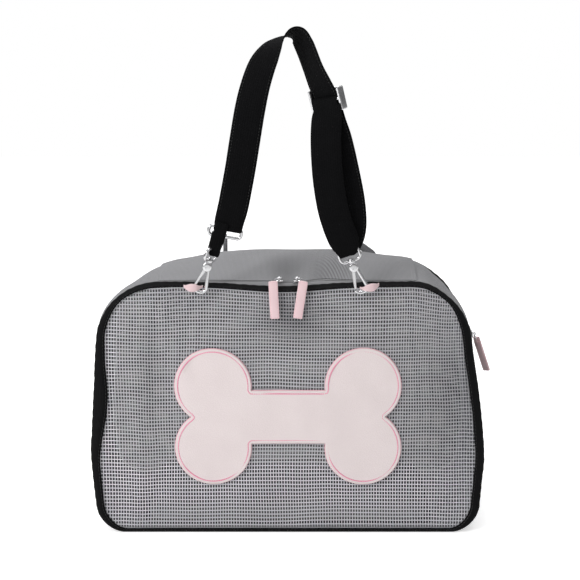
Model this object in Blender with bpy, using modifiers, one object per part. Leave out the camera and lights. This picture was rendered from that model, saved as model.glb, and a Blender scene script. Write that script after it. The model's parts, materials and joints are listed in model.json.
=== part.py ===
"""Soft pet carrier bag: mesh front and back, zipped lid, zipped side door and a clip-on strap."""

import math

import bmesh
import bpy
from mathutils import Matrix, Vector

# Driving dimensions, in metres. Front is -Y, +X is the right side, the floor is z = 0.
BASE_DEPTH = 0.190  # at the floor
TAPER = 0.667  # share of depth lost per metre of height
OUTLINE = (  # corner x, z and its fillet radius, anticlockwise seen from the front
    (-0.206, 0.0, 0.033),
    (0.206, 0.0, 0.033),
    (0.214, 0.085, 0.150),
    (0.201, 0.276, 0.064),
    (-0.201, 0.276, 0.064),
    (-0.214, 0.085, 0.150),
)
TOP_Z = 0.276
GAP = 0.0003
BIND_WIDE = 0.009
BIND_DEEP = 0.007
BIND_THICK = 0.0012
PANEL_THICK = 0.0012
HOOP_R = 0.0015
WALL_OUT = 0.0005
WALL_THICK = 0.0025

TAPE_WIDE = 0.005
TAPE_THICK = 0.0012
CHAIN_GAP = 0.0014
LID_FRONT_Y = -0.0715
LID_REAR_Y = 0.0700
LID_CROWN = 0.013
LID_HINGE = Vector((0.0, 0.0708, 0.2755))

DOOR_LOW, DOOR_HIGH = 0.040, 0.213
DOOR_HALF = 0.060
DOOR_CORNER = 0.022

BOARD_THICK = 0.003
PAD_THICK = 0.016

SLIDER_X = 0.0095
SLIDER_LONG = 0.009
PLATE_HALF, PLATE_THICK = 0.0042, 0.0012  # slider plates: half width and thickness
RUN_GAP = 0.00035  # between a slider's plate and the tape
POST_HALF = 0.0004
BRIDGE_HOLE = 0.0011
BRIDGE_UP = TAPE_THICK / 2 + RUN_GAP + PLATE_THICK + 0.0004 + BRIDGE_HOLE
DOOR_SLIDER_Y = -0.024
DOOR_PULL_LEAN = math.radians(24)
PULL_X, PULL_Y = 0.0160, -0.0822
PULL_DROP = 0.0008  # how far the link's far bar lies below the slider's bridge
PULL_WIDE, PULL_LONG, PULL_THICK = 0.010, 0.038, 0.002
PULL_NECK = 0.0032
LINK_HALF, LINK_REACH = 0.0034, 0.006
WIRE_R = 0.0007

STRAP_Y = -0.0847
WEB_WIDE, WEB_THICK = 0.032, 0.0016
HOOK_HEAD_L = Vector((-0.0855, STRAP_Y, 0.2952))
HOOK_HEAD_R = Vector((0.0694, STRAP_Y, 0.2947))
HOOK_TILT = math.radians(20)
HOOK_WIRE_R = 0.0016
GATE_PIVOT = Vector((-0.0012, -0.0010, 0))  # in the hook's own frame
RING_CENTRE = Vector((-0.0663, STRAP_Y, 0.3326))
RING_TILT = math.radians(10)
ADJUSTER_AT = Vector((0.0410, STRAP_Y, 0.4710))
ADJUSTER_TILT = math.radians(13.4)
MIDDLE_BAR = 0.0044  # how far the adjuster's middle bar stands in front of the webbing's plane

FRONT_LOOPS = {"left_front_loop": -0.1010, "right_front_loop": 0.0865}
REAR_LOOPS = {"left_rear_loop": -0.0800, "right_rear_loop": 0.0880}

# Turns that lay a flat outline's x, y and its extrusion z along other axes
XZ = Matrix(((1, 0, 0, 0), (0, 0, -1, 0), (0, 1, 0, 0), (0, 0, 0, 1)))
YZ = Matrix(((0, 0, 1, 0), (1, 0, 0, 0), (0, 1, 0, 0), (0, 0, 0, 1)))
SIDEWAYS = Matrix(((0, 0, 1, 0), (0, 1, 0, 0), (1, 0, 0, 0), (0, 0, 0, 1)))
EDGEWAYS = Matrix(((0, 0, 1, 0), (0, 1, 0, 0), (-1, 0, 0, 0), (0, 0, 0, 1)))

MATERIALS = {
    "mesh_fabric": ((0.28, 0.28, 0.30), 0.7, 0.0),
    "grey_fabric": ((0.17, 0.17, 0.18), 0.9, 0.0),
    "black_webbing": ((0.012, 0.012, 0.013), 0.8, 0.0),
    "pink_leather": ((0.82, 0.62, 0.62), 0.5, 0.0),
    "pink_webbing": ((0.85, 0.55, 0.58), 0.8, 0.0),
    "nickel_steel": ((0.75, 0.75, 0.76), 0.25, 1.0),
    "black_plastic": ((0.02, 0.02, 0.02), 0.5, 0.0),
}


# ---------------------------------------------------------------- scene and small tools

def clear_scene():
    for obj in list(bpy.data.objects):
        bpy.data.objects.remove(obj, do_unlink=True)


def make_collection(name):
    collection = bpy.data.collections.new(name)
    bpy.context.scene.collection.children.link(collection)
    return collection


def make_materials():
    made = {}
    for name, (colour, roughness, metallic) in MATERIALS.items():
        material = bpy.data.materials.new(name)
        material.use_nodes = True
        shader = material.node_tree.nodes["Principled BSDF"]
        shader.inputs["Base Color"].default_value = (*colour, 1.0)
        shader.inputs["Roughness"].default_value = roughness
        shader.inputs["Metallic"].default_value = metallic
        made[name] = material
    return made


clear_scene()
PARTS = make_collection("pet_carrier_bag")
MATS = make_materials()


def solid(name, verts, faces, slot):
    """A mesh object in the parts collection, faces turned outward."""
    mesh = bpy.data.meshes.new(name)
    mesh.from_pydata([tuple(v) for v in verts], [], faces)
    obj = bpy.data.objects.new(name, mesh)
    PARTS.objects.link(obj)
    mesh.materials.append(MATS[slot])
    return outward(obj)


def outward(obj):
    work = bmesh.new()
    work.from_mesh(obj.data)
    bmesh.ops.remove_doubles(work, verts=work.verts, dist=0.00001)
    bmesh.ops.recalc_face_normals(work, faces=work.faces)
    work.to_mesh(obj.data)
    work.free()
    return obj


def curve_mesh(name, curve, slot):
    """Turns curve data into a welded mesh object."""
    temp = bpy.data.objects.new(name + "_curve", curve)
    bpy.context.scene.collection.objects.link(temp)
    bpy.context.view_layer.update()
    depsgraph = bpy.context.evaluated_depsgraph_get()
    mesh = bpy.data.meshes.new_from_object(temp.evaluated_get(depsgraph))
    bpy.data.objects.remove(temp, do_unlink=True)
    mesh.name = name
    obj = bpy.data.objects.new(name, mesh)
    PARTS.objects.link(obj)
    mesh.materials.clear()
    mesh.materials.append(MATS[slot])
    return outward(obj)


def prism(name, outlines, low, high, frame, slot):
    """Flat outlines (the first is the edge, the rest are holes) extruded from low to high.

    frame turns the outline's x, y and the extrusion z into world axes.
    """
    curve = bpy.data.curves.new(name, "CURVE")
    curve.dimensions = "2D"
    curve.fill_mode = "BOTH"
    curve.extrude = (high - low) / 2
    for outline in outlines:
        spline = curve.splines.new("POLY")
        spline.points.add(len(outline) - 1)
        for point, (u, v) in zip(spline.points, outline):
            point.co = (u, v, 0.0, 1.0)
        spline.use_cyclic_u = True
    obj = curve_mesh(name, curve, slot)
    obj.data.transform(frame @ Matrix.Translation((0, 0, (low + high) / 2)))
    return outward(obj)


def wire(name, points, radius, slot, closed=False, sides=2):
    """A round wire along points, with filled ends when it is open."""
    curve = bpy.data.curves.new(name, "CURVE")
    curve.dimensions = "3D"
    curve.bevel_depth = radius
    curve.bevel_resolution = sides
    curve.use_fill_caps = True
    spline = curve.splines.new("POLY")
    spline.points.add(len(points) - 1)
    for place, point in zip(spline.points, points):
        place.co = (*point, 1.0)
    spline.use_cyclic_u = closed
    return curve_mesh(name, curve, slot)


def cylinder(name, start, end, radius, slot, sides=12):
    axis = (end - start).normalized()
    turn = axis.to_track_quat("Z", "Y").to_matrix().to_4x4()
    outline = [(radius * math.cos(2 * math.pi * i / sides), radius * math.sin(2 * math.pi * i / sides))
               for i in range(sides)]
    frame = Matrix.Translation(start) @ turn
    return prism(name, [outline], 0.0, (end - start).length, frame, slot)


def box(name, low, high, slot, frame=None):
    outline = [(low[0], low[1]), (high[0], low[1]), (high[0], high[1]), (low[0], high[1])]
    return prism(name, [outline], low[2], high[2], frame or Matrix.Identity(4), slot)


def combine(target, others, operation):
    """Applies an exact Boolean with each other object, which is then removed."""
    for other in others:
        modifier = target.modifiers.new("cut", "BOOLEAN")
        modifier.operation = operation
        modifier.solver = "EXACT"
        modifier.object = other
        bpy.context.view_layer.update()
        depsgraph = bpy.context.evaluated_depsgraph_get()
        mesh = bpy.data.meshes.new_from_object(target.evaluated_get(depsgraph))
        target.modifiers.clear()
        old = target.data
        target.data = mesh
        mesh.name = target.name
        bpy.data.meshes.remove(old)
        bpy.data.objects.remove(other, do_unlink=True)
    return outward(target)


def taper(obj):
    """Brings the front and back together towards the top."""
    for vertex in obj.data.vertices:
        vertex.co.y *= 1 - TAPER * vertex.co.z
    return obj


def depth_at(z):
    return BASE_DEPTH / 2 * (1 - TAPER * z)


# ---------------------------------------------------------------- the bag's outline

def fillet(corners, steps):
    """Points with outward normals, (x, z, nx, nz), round a polygon with rounded corners."""
    out = []
    count = len(corners)
    for i, (x, z, radius) in enumerate(corners):
        here = Vector((x, z))
        back = (Vector(corners[i - 1][:2]) - here).normalized()
        ahead = (Vector(corners[(i + 1) % count][:2]) - here).normalized()
        half = back.angle(ahead) / 2
        centre = here + (back + ahead).normalized() * (radius / math.sin(half))
        start = Vector((back.y, -back.x)) * -1
        end = Vector((ahead.y, -ahead.x))
        if start.dot(here - centre) < 0:
            start.negate()
        if end.dot(here - centre) < 0:
            end.negate()
        sweep = start.angle(end)
        first = math.atan2(start.y, start.x)
        number = max(2, round(steps * sweep / (math.pi / 2)))
        for k in range(number + 1):
            angle = first + sweep * k / number
            normal = Vector((math.cos(angle), math.sin(angle)))
            point = centre + normal * radius
            out.append((point.x, point.y, normal.x, normal.y))
    return out


EDGE = fillet(OUTLINE, 7)
FLAT = 0.999
TOP_SPLIT_X = max(x for x, z, nx, nz in EDGE if nz > FLAT)  # the zipped top starts here
BASE_SPLIT_X = max(x for x, z, nx, nz in EDGE if nz < -FLAT)  # the flat base ends here


def inset(edge, amount):
    return [(x - nx * amount, z - nz * amount) for x, z, nx, nz in edge]


def ring_band(name, profile, side, slot):
    """A closed band round the outline. profile is (inset, distance from the outer face) pairs."""
    verts = []
    for amount, back in profile:
        for x, z in inset(EDGE, amount):
            verts.append((x, side * (BASE_DEPTH / 2 - back), z))
    around, rows = len(EDGE), len(profile)
    faces = []
    for r in range(rows):
        for i in range(around):
            j, q = (i + 1) % around, (r + 1) % rows
            faces.append((r * around + i, r * around + j, q * around + j, q * around + i))
    return taper(solid(name, verts, faces, slot))


def wall_outline(edge, out, thick):
    return inset(edge, out) + inset(edge, out + thick)[::-1]


def wall(name, edge, out, thick, slot):
    half = BASE_DEPTH / 2 - BIND_DEEP - GAP
    return prism(name, [wall_outline(edge, out, thick)], -half, half, XZ, slot)


# ---------------------------------------------------------------- frame, panels and base

def make_face(side, word):
    """Binding, mesh panel and the wire hoop behind them, at the front or the rear."""
    band = [
        (0.0, 0.0), (0.0, BIND_DEEP), (BIND_THICK, BIND_DEEP),
        (BIND_THICK, BIND_THICK), (BIND_WIDE, BIND_THICK), (BIND_WIDE, 0.0),
    ]
    ring_band(word + "_binding", band, side, "black_webbing")
    low = BIND_THICK + GAP
    outline = inset(EDGE, low)
    places = sorted((side * (BASE_DEPTH / 2 - low), side * (BASE_DEPTH / 2 - low - PANEL_THICK)))
    panel = prism(word + "_mesh_panel", [outline], -places[1], -places[0], XZ, "mesh_fabric")
    taper(panel)
    centre = (BIND_THICK + GAP + HOOP_R, low + PANEL_THICK + GAP + HOOP_R)
    rod = [(centre[0] + HOOP_R * math.cos(a), centre[1] + HOOP_R * math.sin(a))
           for a in (2 * math.pi * k / 8 for k in range(8))]
    ring_band(word + "_frame_hoop", rod, side, "nickel_steel")


def side_edge(sign):
    """The outline of one side wall, from the base split up to the top split."""
    return [(sign * x, z, sign * nx, nz) for x, z, nx, nz in EDGE if x > 0]


def make_walls():
    left = wall("left_side_panel", side_edge(-1), WALL_OUT, WALL_THICK, "grey_fabric")
    taper(left)
    right = wall("right_side_panel", side_edge(1), WALL_OUT, WALL_THICK, "grey_fabric")
    combine(right, [door_cutter("door_hole", 0.0)], "DIFFERENCE")
    taper(right)


def make_base():
    half = BASE_DEPTH / 2 - BIND_DEEP - GAP
    box("base_panel", (-BASE_SPLIT_X + GAP, -half, 0.0), (BASE_SPLIT_X - GAP, half, WALL_THICK),
        "grey_fabric")
    low = WALL_THICK + GAP
    board = rounded_rect(0.320, 0.162, 0.014)
    prism("base_board", [board], low, low + BOARD_THICK, Matrix.Identity(4), "black_plastic")
    low += BOARD_THICK + GAP
    pad = prism("floor_pad", [rounded_rect(0.316, 0.158, 0.020)], low, low + PAD_THICK,
                Matrix.Identity(4), "grey_fabric")
    soften(pad, 0.005)


def rounded_rect(wide, deep, radius, steps=5, centre=(0.0, 0.0)):
    points = []
    for sx, sy, first in ((1, 1, 0), (-1, 1, 90), (-1, -1, 180), (1, -1, 270)):
        for k in range(steps + 1):
            angle = math.radians(first + 90 * k / steps)
            points.append((centre[0] + sx * (wide / 2 - radius) + radius * math.cos(angle),
                           centre[1] + sy * (deep / 2 - radius) + radius * math.sin(angle)))
    return points


def soften(obj, width, segments=2):
    """Rounds the sharp edges of a finished solid."""
    modifier = obj.modifiers.new("round", "BEVEL")
    modifier.width = width
    modifier.segments = segments
    modifier.limit_method = "ANGLE"
    modifier.angle_limit = math.radians(50)
    bpy.context.view_layer.update()
    depsgraph = bpy.context.evaluated_depsgraph_get()
    mesh = bpy.data.meshes.new_from_object(obj.evaluated_get(depsgraph))
    obj.modifiers.clear()
    obj.data = mesh
    mesh.name = obj.name
    return outward(obj)


def make_applique():
    """A bone-shaped patch on the front mesh: four round lobes joined by a bar."""
    lobe, lobe_x, lobe_z, middle_z = 0.041, 0.081, 0.034, 0.131
    outline = []
    for sx, sz, first, last in ((1, 1, 187, -56), (1, -1, 56, -187), (-1, -1, -7, -236), (-1, 1, 236, -7)):
        for k in range(13):
            angle = math.radians(first + (last - first) * k / 12)
            outline.append((sx * lobe_x + lobe * math.cos(angle),
                            middle_z + sz * lobe_z + lobe * math.sin(angle)))
    front = BASE_DEPTH / 2 + 0.0006
    back = BASE_DEPTH / 2 - BIND_THICK
    taper(prism("front_applique", [outline], back, front, XZ, "pink_leather"))


# ---------------------------------------------------------------- the zipped lid

def make_top():
    z_tape = TOP_Z - WALL_OUT - TAPE_THICK
    outer = (TOP_SPLIT_X - GAP, LID_FRONT_Y)
    u_strip("top_zip_body_tape", outer, TAPE_WIDE, z_tape, "grey_fabric")
    step = TAPE_WIDE + CHAIN_GAP
    inner = (outer[0] - step, outer[1] + step)
    u_strip("top_zip_lid_tape", inner, TAPE_WIDE, z_tape, "grey_fabric")
    step = TAPE_WIDE + GAP
    make_lid((inner[0] - step, inner[1] + step))


def u_strip(name, corner, wide, low, slot):
    """A flat strip round the front and both sides of the lid, open at the rear."""
    x, front = corner
    outline = [(-x, LID_REAR_Y), (-x, front), (x, front), (x, LID_REAR_Y),
               (x - wide, LID_REAR_Y), (x - wide, front + wide), (-x + wide, front + wide),
               (-x + wide, LID_REAR_Y)]
    prism(name, [outline], low, low + TAPE_THICK, Matrix.Identity(4), slot)


def make_lid(corner):
    """A crowned panel, lofted from a grid of top points and the same grid lower down."""
    half_x, front = corner
    columns, rows = 12, 6
    verts, faces = [], []
    for low in (0.0, WALL_THICK):
        for r in range(rows + 1):
            for c in range(columns + 1):
                s, t = 2 * c / columns - 1, 2 * r / rows - 1
                rise = LID_CROWN * (1 - s ** 4) * (1 - t * t)
                y = front + (LID_REAR_Y - front) * r / rows
                verts.append((half_x * s, y, TOP_Z - WALL_OUT - low + rise))
    width = columns + 1
    layer = width * (rows + 1)
    for r in range(rows):
        for c in range(columns):
            a = r * width + c
            quad = (a, a + 1, a + 1 + width, a + width)
            faces.append(quad)
            faces.append(tuple(layer + v for v in reversed(quad)))
    rim = ([c for c in range(width)] + [r * width + columns for r in range(1, rows + 1)]
           + [rows * width + c for c in range(columns - 1, -1, -1)]
           + [r * width for r in range(rows - 1, 0, -1)])
    for a, b in zip(rim, rim[1:] + rim[:1]):
        faces.append((a, layer + a, layer + b, b))
    solid("lid_panel", verts, faces, "grey_fabric")


# ---------------------------------------------------------------- the zipped side door

def door_outline(shrink, low=None):
    """Door outline in (y, z): straight foot, rounded shoulders."""
    half, top, corner = DOOR_HALF - shrink, DOOR_HIGH - shrink, DOOR_CORNER - shrink
    low = DOOR_LOW if low is None else low
    points = [(-half, low), (half, low)]
    for sy, first in ((1, 0), (-1, 90)):
        for k in range(7):
            angle = math.radians(first + 90 * k / 6)
            points.append((sy * (half - corner) + corner * math.cos(angle),
                           top - corner + corner * math.sin(angle)))
    return points


def door_cutter(name, shrink, low=None, hole=None):
    outlines = [door_outline(shrink, low)]
    if hole is not None:
        outlines.append(hole)
    return prism(name, outlines, 0.150, 0.250, YZ, "grey_fabric")


def door_band(name, start, end, slot):
    """The part of the wall between two insets of the door outline, open at the foot."""
    out = WALL_OUT + (WALL_THICK - TAPE_THICK) / 2
    band = wall(name, side_edge(1), out, TAPE_THICK, slot)
    foot = DOOR_LOW + GAP
    combine(band, [door_cutter("keep", start, foot)], "INTERSECT")
    combine(band, [door_cutter("drop", end, foot - 0.01)], "DIFFERENCE")
    return taper(band)


def make_door():
    door_band("door_zip_body_tape", GAP, GAP + TAPE_WIDE, "grey_fabric")
    start = GAP + TAPE_WIDE + CHAIN_GAP
    door_band("door_zip_door_tape", start, start + TAPE_WIDE, "grey_fabric")
    panel = wall("side_door_panel", side_edge(1), WALL_OUT, WALL_THICK, "mesh_fabric")
    combine(panel, [door_cutter("keep", start + TAPE_WIDE + GAP, DOOR_LOW + 0.0008)], "INTERSECT")
    taper(panel)


# ---------------------------------------------------------------- zip sliders and pulls

def make_slider(name, frame):
    """Local x runs along the chain, y across it towards the moving panel, z outward.

    The plate inside the bag covers only the moving tape, so the panel lifts away with its slider.
    """
    top = TAPE_THICK / 2 + RUN_GAP
    half = SLIDER_LONG / 2
    plate = rounded_rect(SLIDER_LONG, 2 * PLATE_HALF, 0.0020, steps=3)
    body = prism(name, [plate], top, top + PLATE_THICK, frame, "nickel_steel")
    sunk = top + PLATE_THICK / 2
    post = box("post", (-half + 0.001, -POST_HALF, -sunk), (half - 0.001, POST_HALF, sunk), "nickel_steel",
               frame)
    lower = box("lower", (-half, -POST_HALF - 0.0001, -top - PLATE_THICK), (half, PLATE_HALF, -top),
                "nickel_steel", frame)
    arch = BRIDGE_HOLE + 0.0009
    outer = [(-arch, top + PLATE_THICK / 2), (arch, top + PLATE_THICK / 2)]
    outer += [(arch * math.cos(a), BRIDGE_UP + arch * math.sin(a))
              for a in (math.pi * k / 8 for k in range(9))]
    hole = [(BRIDGE_HOLE * math.cos(a), BRIDGE_UP + BRIDGE_HOLE * math.sin(a))
            for a in (2 * math.pi * k / 10 for k in range(10))]
    bridge = prism("bridge", [outer, hole], -0.0014, 0.0014, frame @ YZ, "nickel_steel")
    return combine(body, [post, lower, bridge], "UNION")


def make_pull(name, hinge, along, middle, hang):
    """A wire link on the slider's bridge, and a flat tab folded over the link's far bar.

    hinge and middle are the centres of the link's two bars, both parallel to along; the tab
    hangs from middle in the direction hang.
    """
    half = along * LINK_HALF
    corners = [hinge - half, hinge + half, middle + half, middle - half]
    wire(name + "_wire", corners, WIRE_R, "nickel_steel", closed=True, sides=1)
    normal = along.cross(hang).normalized()
    frame = Matrix.Translation(middle) @ Matrix((along, hang, normal)).transposed().to_4x4()
    tab = box(name + "_tab", (-PULL_WIDE / 2, PULL_NECK, -PULL_THICK / 2),
              (PULL_WIDE / 2, PULL_LONG, PULL_THICK / 2), "pink_leather", frame)
    fold = WIRE_R + 0.0004
    side = [(-PULL_THICK / 2, PULL_NECK + 0.001)]
    side += [((fold + 0.0009) * math.cos(a), -(fold + 0.0009) * math.sin(a))
             for a in (math.pi * (8 - k) / 8 for k in range(9))]
    side.append((PULL_THICK / 2, PULL_NECK + 0.001))
    hole = [(fold * math.cos(a), fold * math.sin(a)) for a in (2 * math.pi * k / 8 for k in range(8))]
    head = prism("head", [side, hole], -0.0015, 0.0015, frame @ SIDEWAYS, "pink_leather")
    return combine(tab, [head], "UNION")


def make_top_sliders():
    z_chain = TOP_Z - WALL_OUT - TAPE_THICK / 2
    y_chain = LID_FRONT_Y + TAPE_WIDE + CHAIN_GAP / 2
    for word, sign in (("left", -1), ("right", 1)):
        centre = Vector((sign * SLIDER_X, y_chain, z_chain))
        make_slider("top_slider_" + word, Matrix.Translation(centre))
        hinge = centre + Vector((0, 0, BRIDGE_UP))
        middle = Vector((sign * PULL_X, PULL_Y, hinge.z - PULL_DROP))
        make_pull("top_pull_" + word, hinge, Vector((1, 0, 0)), middle, Vector((0, 0, -1)))


def make_door_slider():
    """The slider parks near the front end of the door's top run."""
    lean = math.atan2(OUTLINE[2][0] - OUTLINE[3][0], OUTLINE[3][1] - OUTLINE[2][1])
    z_chain = DOOR_HIGH - GAP - TAPE_WIDE - CHAIN_GAP / 2
    mid = WALL_OUT + WALL_THICK / 2
    corner_x, corner_z, _ = OUTLINE[2]
    x_chain = corner_x - math.tan(lean) * (z_chain - corner_z) - mid / math.cos(lean)
    outward_axis = Vector((math.cos(lean), 0, math.sin(lean)))
    down_axis = Vector((math.sin(lean), 0, -math.cos(lean)))
    turn = Matrix((Vector((0, -1, 0)), down_axis, outward_axis)).transposed().to_4x4()
    centre = Vector((x_chain, DOOR_SLIDER_Y, z_chain))
    make_slider("door_slider", Matrix.Translation(centre) @ turn)
    hinge = centre + outward_axis * BRIDGE_UP
    hang = Vector((math.sin(DOOR_PULL_LEAN), 0, -math.cos(DOOR_PULL_LEAN)))
    make_pull("door_pull", hinge, Vector((0, 1, 0)), hinge + hang * LINK_REACH, hang)


# ---------------------------------------------------------------- loops on the bag

def make_front_loops():
    """Short strips sewn flat at both ends, with room behind them for a hook's leg."""
    low, high = 0.2704, 0.2758
    half, foot, thick, reach = 0.0085, 0.0030, 0.0012, 0.0104
    for name, x in FRONT_LOOPS.items():
        back = -depth_at(low) - GAP
        points = [(x - half - foot, back), (x - half, back), (x - half + 0.002, back - reach + thick),
                  (x + half - 0.002, back - reach + thick), (x + half, back), (x + half + foot, back)]
        outer = [(x + half + foot, back - thick), (x + half + thick, back - thick),
                 (x + half - 0.001, back - reach), (x - half + 0.001, back - reach),
                 (x - half - thick, back - thick), (x - half - foot, back - thick)]
        prism(name, [points + outer], low, high, Matrix.Identity(4), "pink_webbing")


def make_rear_loops():
    """Triangular webbing loops standing behind the rear binding."""
    low, peak, wide, thick, web = 0.262, 0.3010, 0.024, 0.0016, 0.0045
    y = depth_at(low) + GAP + thick / 2 + 0.0003
    for name, x in REAR_LOOPS.items():
        out = 1 if x > 0 else -1
        outer = [(x - out * wide * 0.35, low), (x + out * wide * 0.65, low),
                 (x + out * wide * 0.65, low + 0.012), (x - out * wide * 0.05, peak),
                 (x - out * wide * 0.35, peak)]
        hole = [(x - out * (wide * 0.35 - web), low + 0.016), (x + out * (wide * 0.65 - web), low + 0.016),
                (x - out * wide * 0.03, peak - web * 1.4), (x - out * (wide * 0.35 - web), peak - web * 1.4)]
        prism(name, [outer, hole], -y - thick / 2, -y + thick / 2, XZ, "grey_fabric")


# ---------------------------------------------------------------- strap

def catmull(rows, steps):
    """Smooth rows of equal length through hand-set rows."""
    out = []
    for i in range(len(rows) - 1):
        p0, p1, p2 = rows[max(i - 1, 0)], rows[i], rows[i + 1]
        p3 = rows[min(i + 2, len(rows) - 1)]
        for k in range(steps):
            t = k / steps
            out.append([0.5 * (2 * b + (c - a) * t + (2 * a - 5 * b + 4 * c - d) * t * t
                               + (3 * b - a - 3 * c + d) * t ** 3)
                        for a, b, c, d in zip(p0, p1, p2, p3)])
    out.append(list(rows[-1]))
    return out


def ribbon(name, rows, thick, slot, steps=3):
    """A flat band through rows of x, y from STRAP_Y, z (mm), width (mm), lie and twist (degrees).

    lie is the direction of the band's width in the XZ plane, and twist turns it towards -Y.
    """
    rows = catmull(rows, steps)
    places = [Vector(row[:3]) / 1000 + Vector((0, STRAP_Y, 0)) for row in rows]
    verts = []
    for i, row in enumerate(rows):
        tangent = (places[min(i + 1, len(rows) - 1)] - places[max(i - 1, 0)]).normalized()
        lie, twist = math.radians(row[4]), math.radians(row[5])
        across = Vector((math.cos(lie) * math.cos(twist), -math.sin(twist), math.sin(lie) * math.cos(twist)))
        across = (across - tangent * across.dot(tangent)).normalized() * row[3] / 2000
        through = tangent.cross(across).normalized() * thick / 2
        verts += [places[i] - across - through, places[i] + across - through,
                  places[i] + across + through, places[i] - across + through]
    faces = [(3, 2, 1, 0)]
    for i in range(len(rows) - 1):
        for k in range(4):
            a, b = 4 * i + k, 4 * i + (k + 1) % 4
            faces.append((a, b, b + 4, a + 4))
    last = 4 * (len(rows) - 1)
    faces.append((last, last + 1, last + 2, last + 3))
    return solid(name, verts, faces, slot)


# x, distance behind STRAP_Y and z in mm, width in mm, lie of the width in the XZ plane and twist
STRAP_ROUTE = [
    (-58.6, 3.1, 358, 26, -10, 0), (-61.2, 3.1, 346, 23, -10, 0), (-62.9, 2.9, 337.6, 22, -10, 0),
    (-63.6, 0, 334.0, 22, -10, 0), (-62.9, -2.9, 337.6, 22, -10, 0), (-61.2, -2.6, 346, 24, -10, 0),
    (-57.0, -1.3, 362, 30, -11, 0), (-50, 0, 398, 32, -10, 2), (-45, 0, 428, 32, -10, 6),
    (-39.5, 0, 464, 32, -10, 15), (-34, 0, 498, 32, -14, 30), (-27, 0, 521, 32, -28, 48),
    (-17, 0, 537, 32, -45, 68), (-5, 0, 545, 32, -80, 88), (8, 0, 542, 32, -112, 106),
    (19, 0, 530, 32, -144, 126), (27, 0, 514, 32, -160, 148), (33.3, 0, 503.4, 32, -166.6, 168),
    (36.2, 0, 491, 32, -166.6, 178), (41.0, 0, 471, 32, -166.6, 180), (46.2, 0, 449, 32, -166.6, 180),
    (51.2, 0, 428, 32, -166.6, 180), (58.5, 1.2, 396, 32, -167, 182), (64.5, 2.5, 366, 31, -170, 184),
    (67.0, 2.9, 344, 28, -176, 184), (65.6, 2.9, 328, 20, -168, 182), (62.5, 2.8, 314.2, 14, -160, 180),
]
RETURN_ROUTE = [
    (63.5, 0, 310.8, 13.5, -160, 180), (63.0, -2.5, 312.3, 13.5, -160, 180),
    (62.2, -3.3, 315.2, 13.5, -160, 180), (59.0, -3.7, 323, 19, -158, 180),
    (53.5, -4.7, 337, 27, -160, 180), (46.5, -6.2, 360, 31, -166, 180),
    (41.0, -7.1, 392, 32, -177, 180), (39.0, -7.4, 424, 32, -182, 180),
    (39.6, -7.7, 452, 32, -172, 180),
]


def make_strap():
    ribbon("strap_webbing", STRAP_ROUTE, WEB_THICK, "black_webbing")
    ribbon("strap_return_webbing", RETURN_ROUTE, WEB_THICK, "black_webbing")


def tilted(place, angle):
    """A frame at place: local x across, y up the part's own axis, z towards the front."""
    up = Vector((math.sin(angle), 0, math.cos(angle)))
    across = Vector((math.cos(angle), 0, -math.sin(angle)))
    return Matrix.Translation(place) @ Matrix((across, up, Vector((0, -1, 0)))).transposed().to_4x4()


def make_strap_ring():
    frame = tilted(RING_CENTRE, RING_TILT)
    path = [frame @ Vector((x, y, 0)) for x, y in rounded_rect(0.0345, 0.0100, 0.0030, steps=4)]
    wire("strap_ring", path, 0.0015, "nickel_steel", closed=True)


def racetrack(long, radius, steps=6):
    """A stadium outline: two half circles round (0, 0) and (0, long)."""
    points = []
    for centre, first in ((long, 0), (0.0, 180)):
        for k in range(steps + 1):
            angle = math.radians(first + 180 * k / steps)
            points.append((radius * math.cos(angle), centre + radius * math.sin(angle)))
    return points


def make_hook_tab():
    """The short sewn loop that joins the strap's ring to the left hook's eye."""
    ring_bar = tilted(RING_CENTRE, RING_TILT) @ Vector((-0.0075, -0.0050, 0))
    eye_bar = tilted(HOOK_HEAD_L, HOOK_TILT) @ Vector((0, 0.0205, 0))
    up = ring_bar - eye_bar
    lean = math.atan2(up.x, up.z)
    frame = tilted(eye_bar, lean)
    outlines = [racetrack(up.length, 0.0036), racetrack(up.length, 0.0024)]
    prism("hook_tab", outlines, -0.0064, 0.0064, frame @ EDGEWAYS, "black_webbing")


def make_hook(word, head, tilt):
    """A swivelling spring hook: eye, body with a stem, gate and gate rivet."""
    frame = tilted(head, tilt)
    make_eye(word + "_swivel_eye", frame)
    bow = [(0.0022, -0.0010), (0.0030, -0.0060), (0.0062, -0.0215), (0.0064, -0.0245), (0.0050, -0.0270),
           (0.0024, -0.0284), (-0.0010, -0.0286), (-0.0042, -0.0274), (-0.0062, -0.0252)]
    body = wire(word + "_hook_body", [frame @ Vector((x, y, 0)) for x, y in bow], HOOK_WIRE_R,
                "nickel_steel", sides=2)
    disc = cylinder("disc", frame @ Vector((0, 0, -0.0027)), frame @ Vector((0, 0, 0.0027)), 0.0043,
                    "nickel_steel", sides=16)
    stem = cylinder("stem", frame @ Vector((0, 0.002, 0)), frame @ Vector((0, 0.0102, 0)), 0.0015,
                    "nickel_steel")
    button = cylinder("button", frame @ Vector((0, 0.0092, 0)), frame @ Vector((0, 0.0106, 0)), 0.0027,
                      "nickel_steel")
    combine(body, [disc, stem, button], "UNION")
    slot = box("slot", (-0.0060, -0.0062, -0.0015), (0.0016, 0.0016, 0.0015), "nickel_steel", frame)
    hole = cylinder("hole", frame @ (GATE_PIVOT + Vector((0, 0, -0.004))),
                    frame @ (GATE_PIVOT + Vector((0, 0, 0.004))), 0.0010, "nickel_steel", sides=10)
    combine(body, [slot, hole], "DIFFERENCE")
    cylinder(word + "_gate_rivet", frame @ (GATE_PIVOT + Vector((0, 0, -0.0030))),
             frame @ (GATE_PIVOT + Vector((0, 0, 0.0030))), 0.0007, "nickel_steel", sides=10)
    make_gate(word + "_gate", frame)


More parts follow.
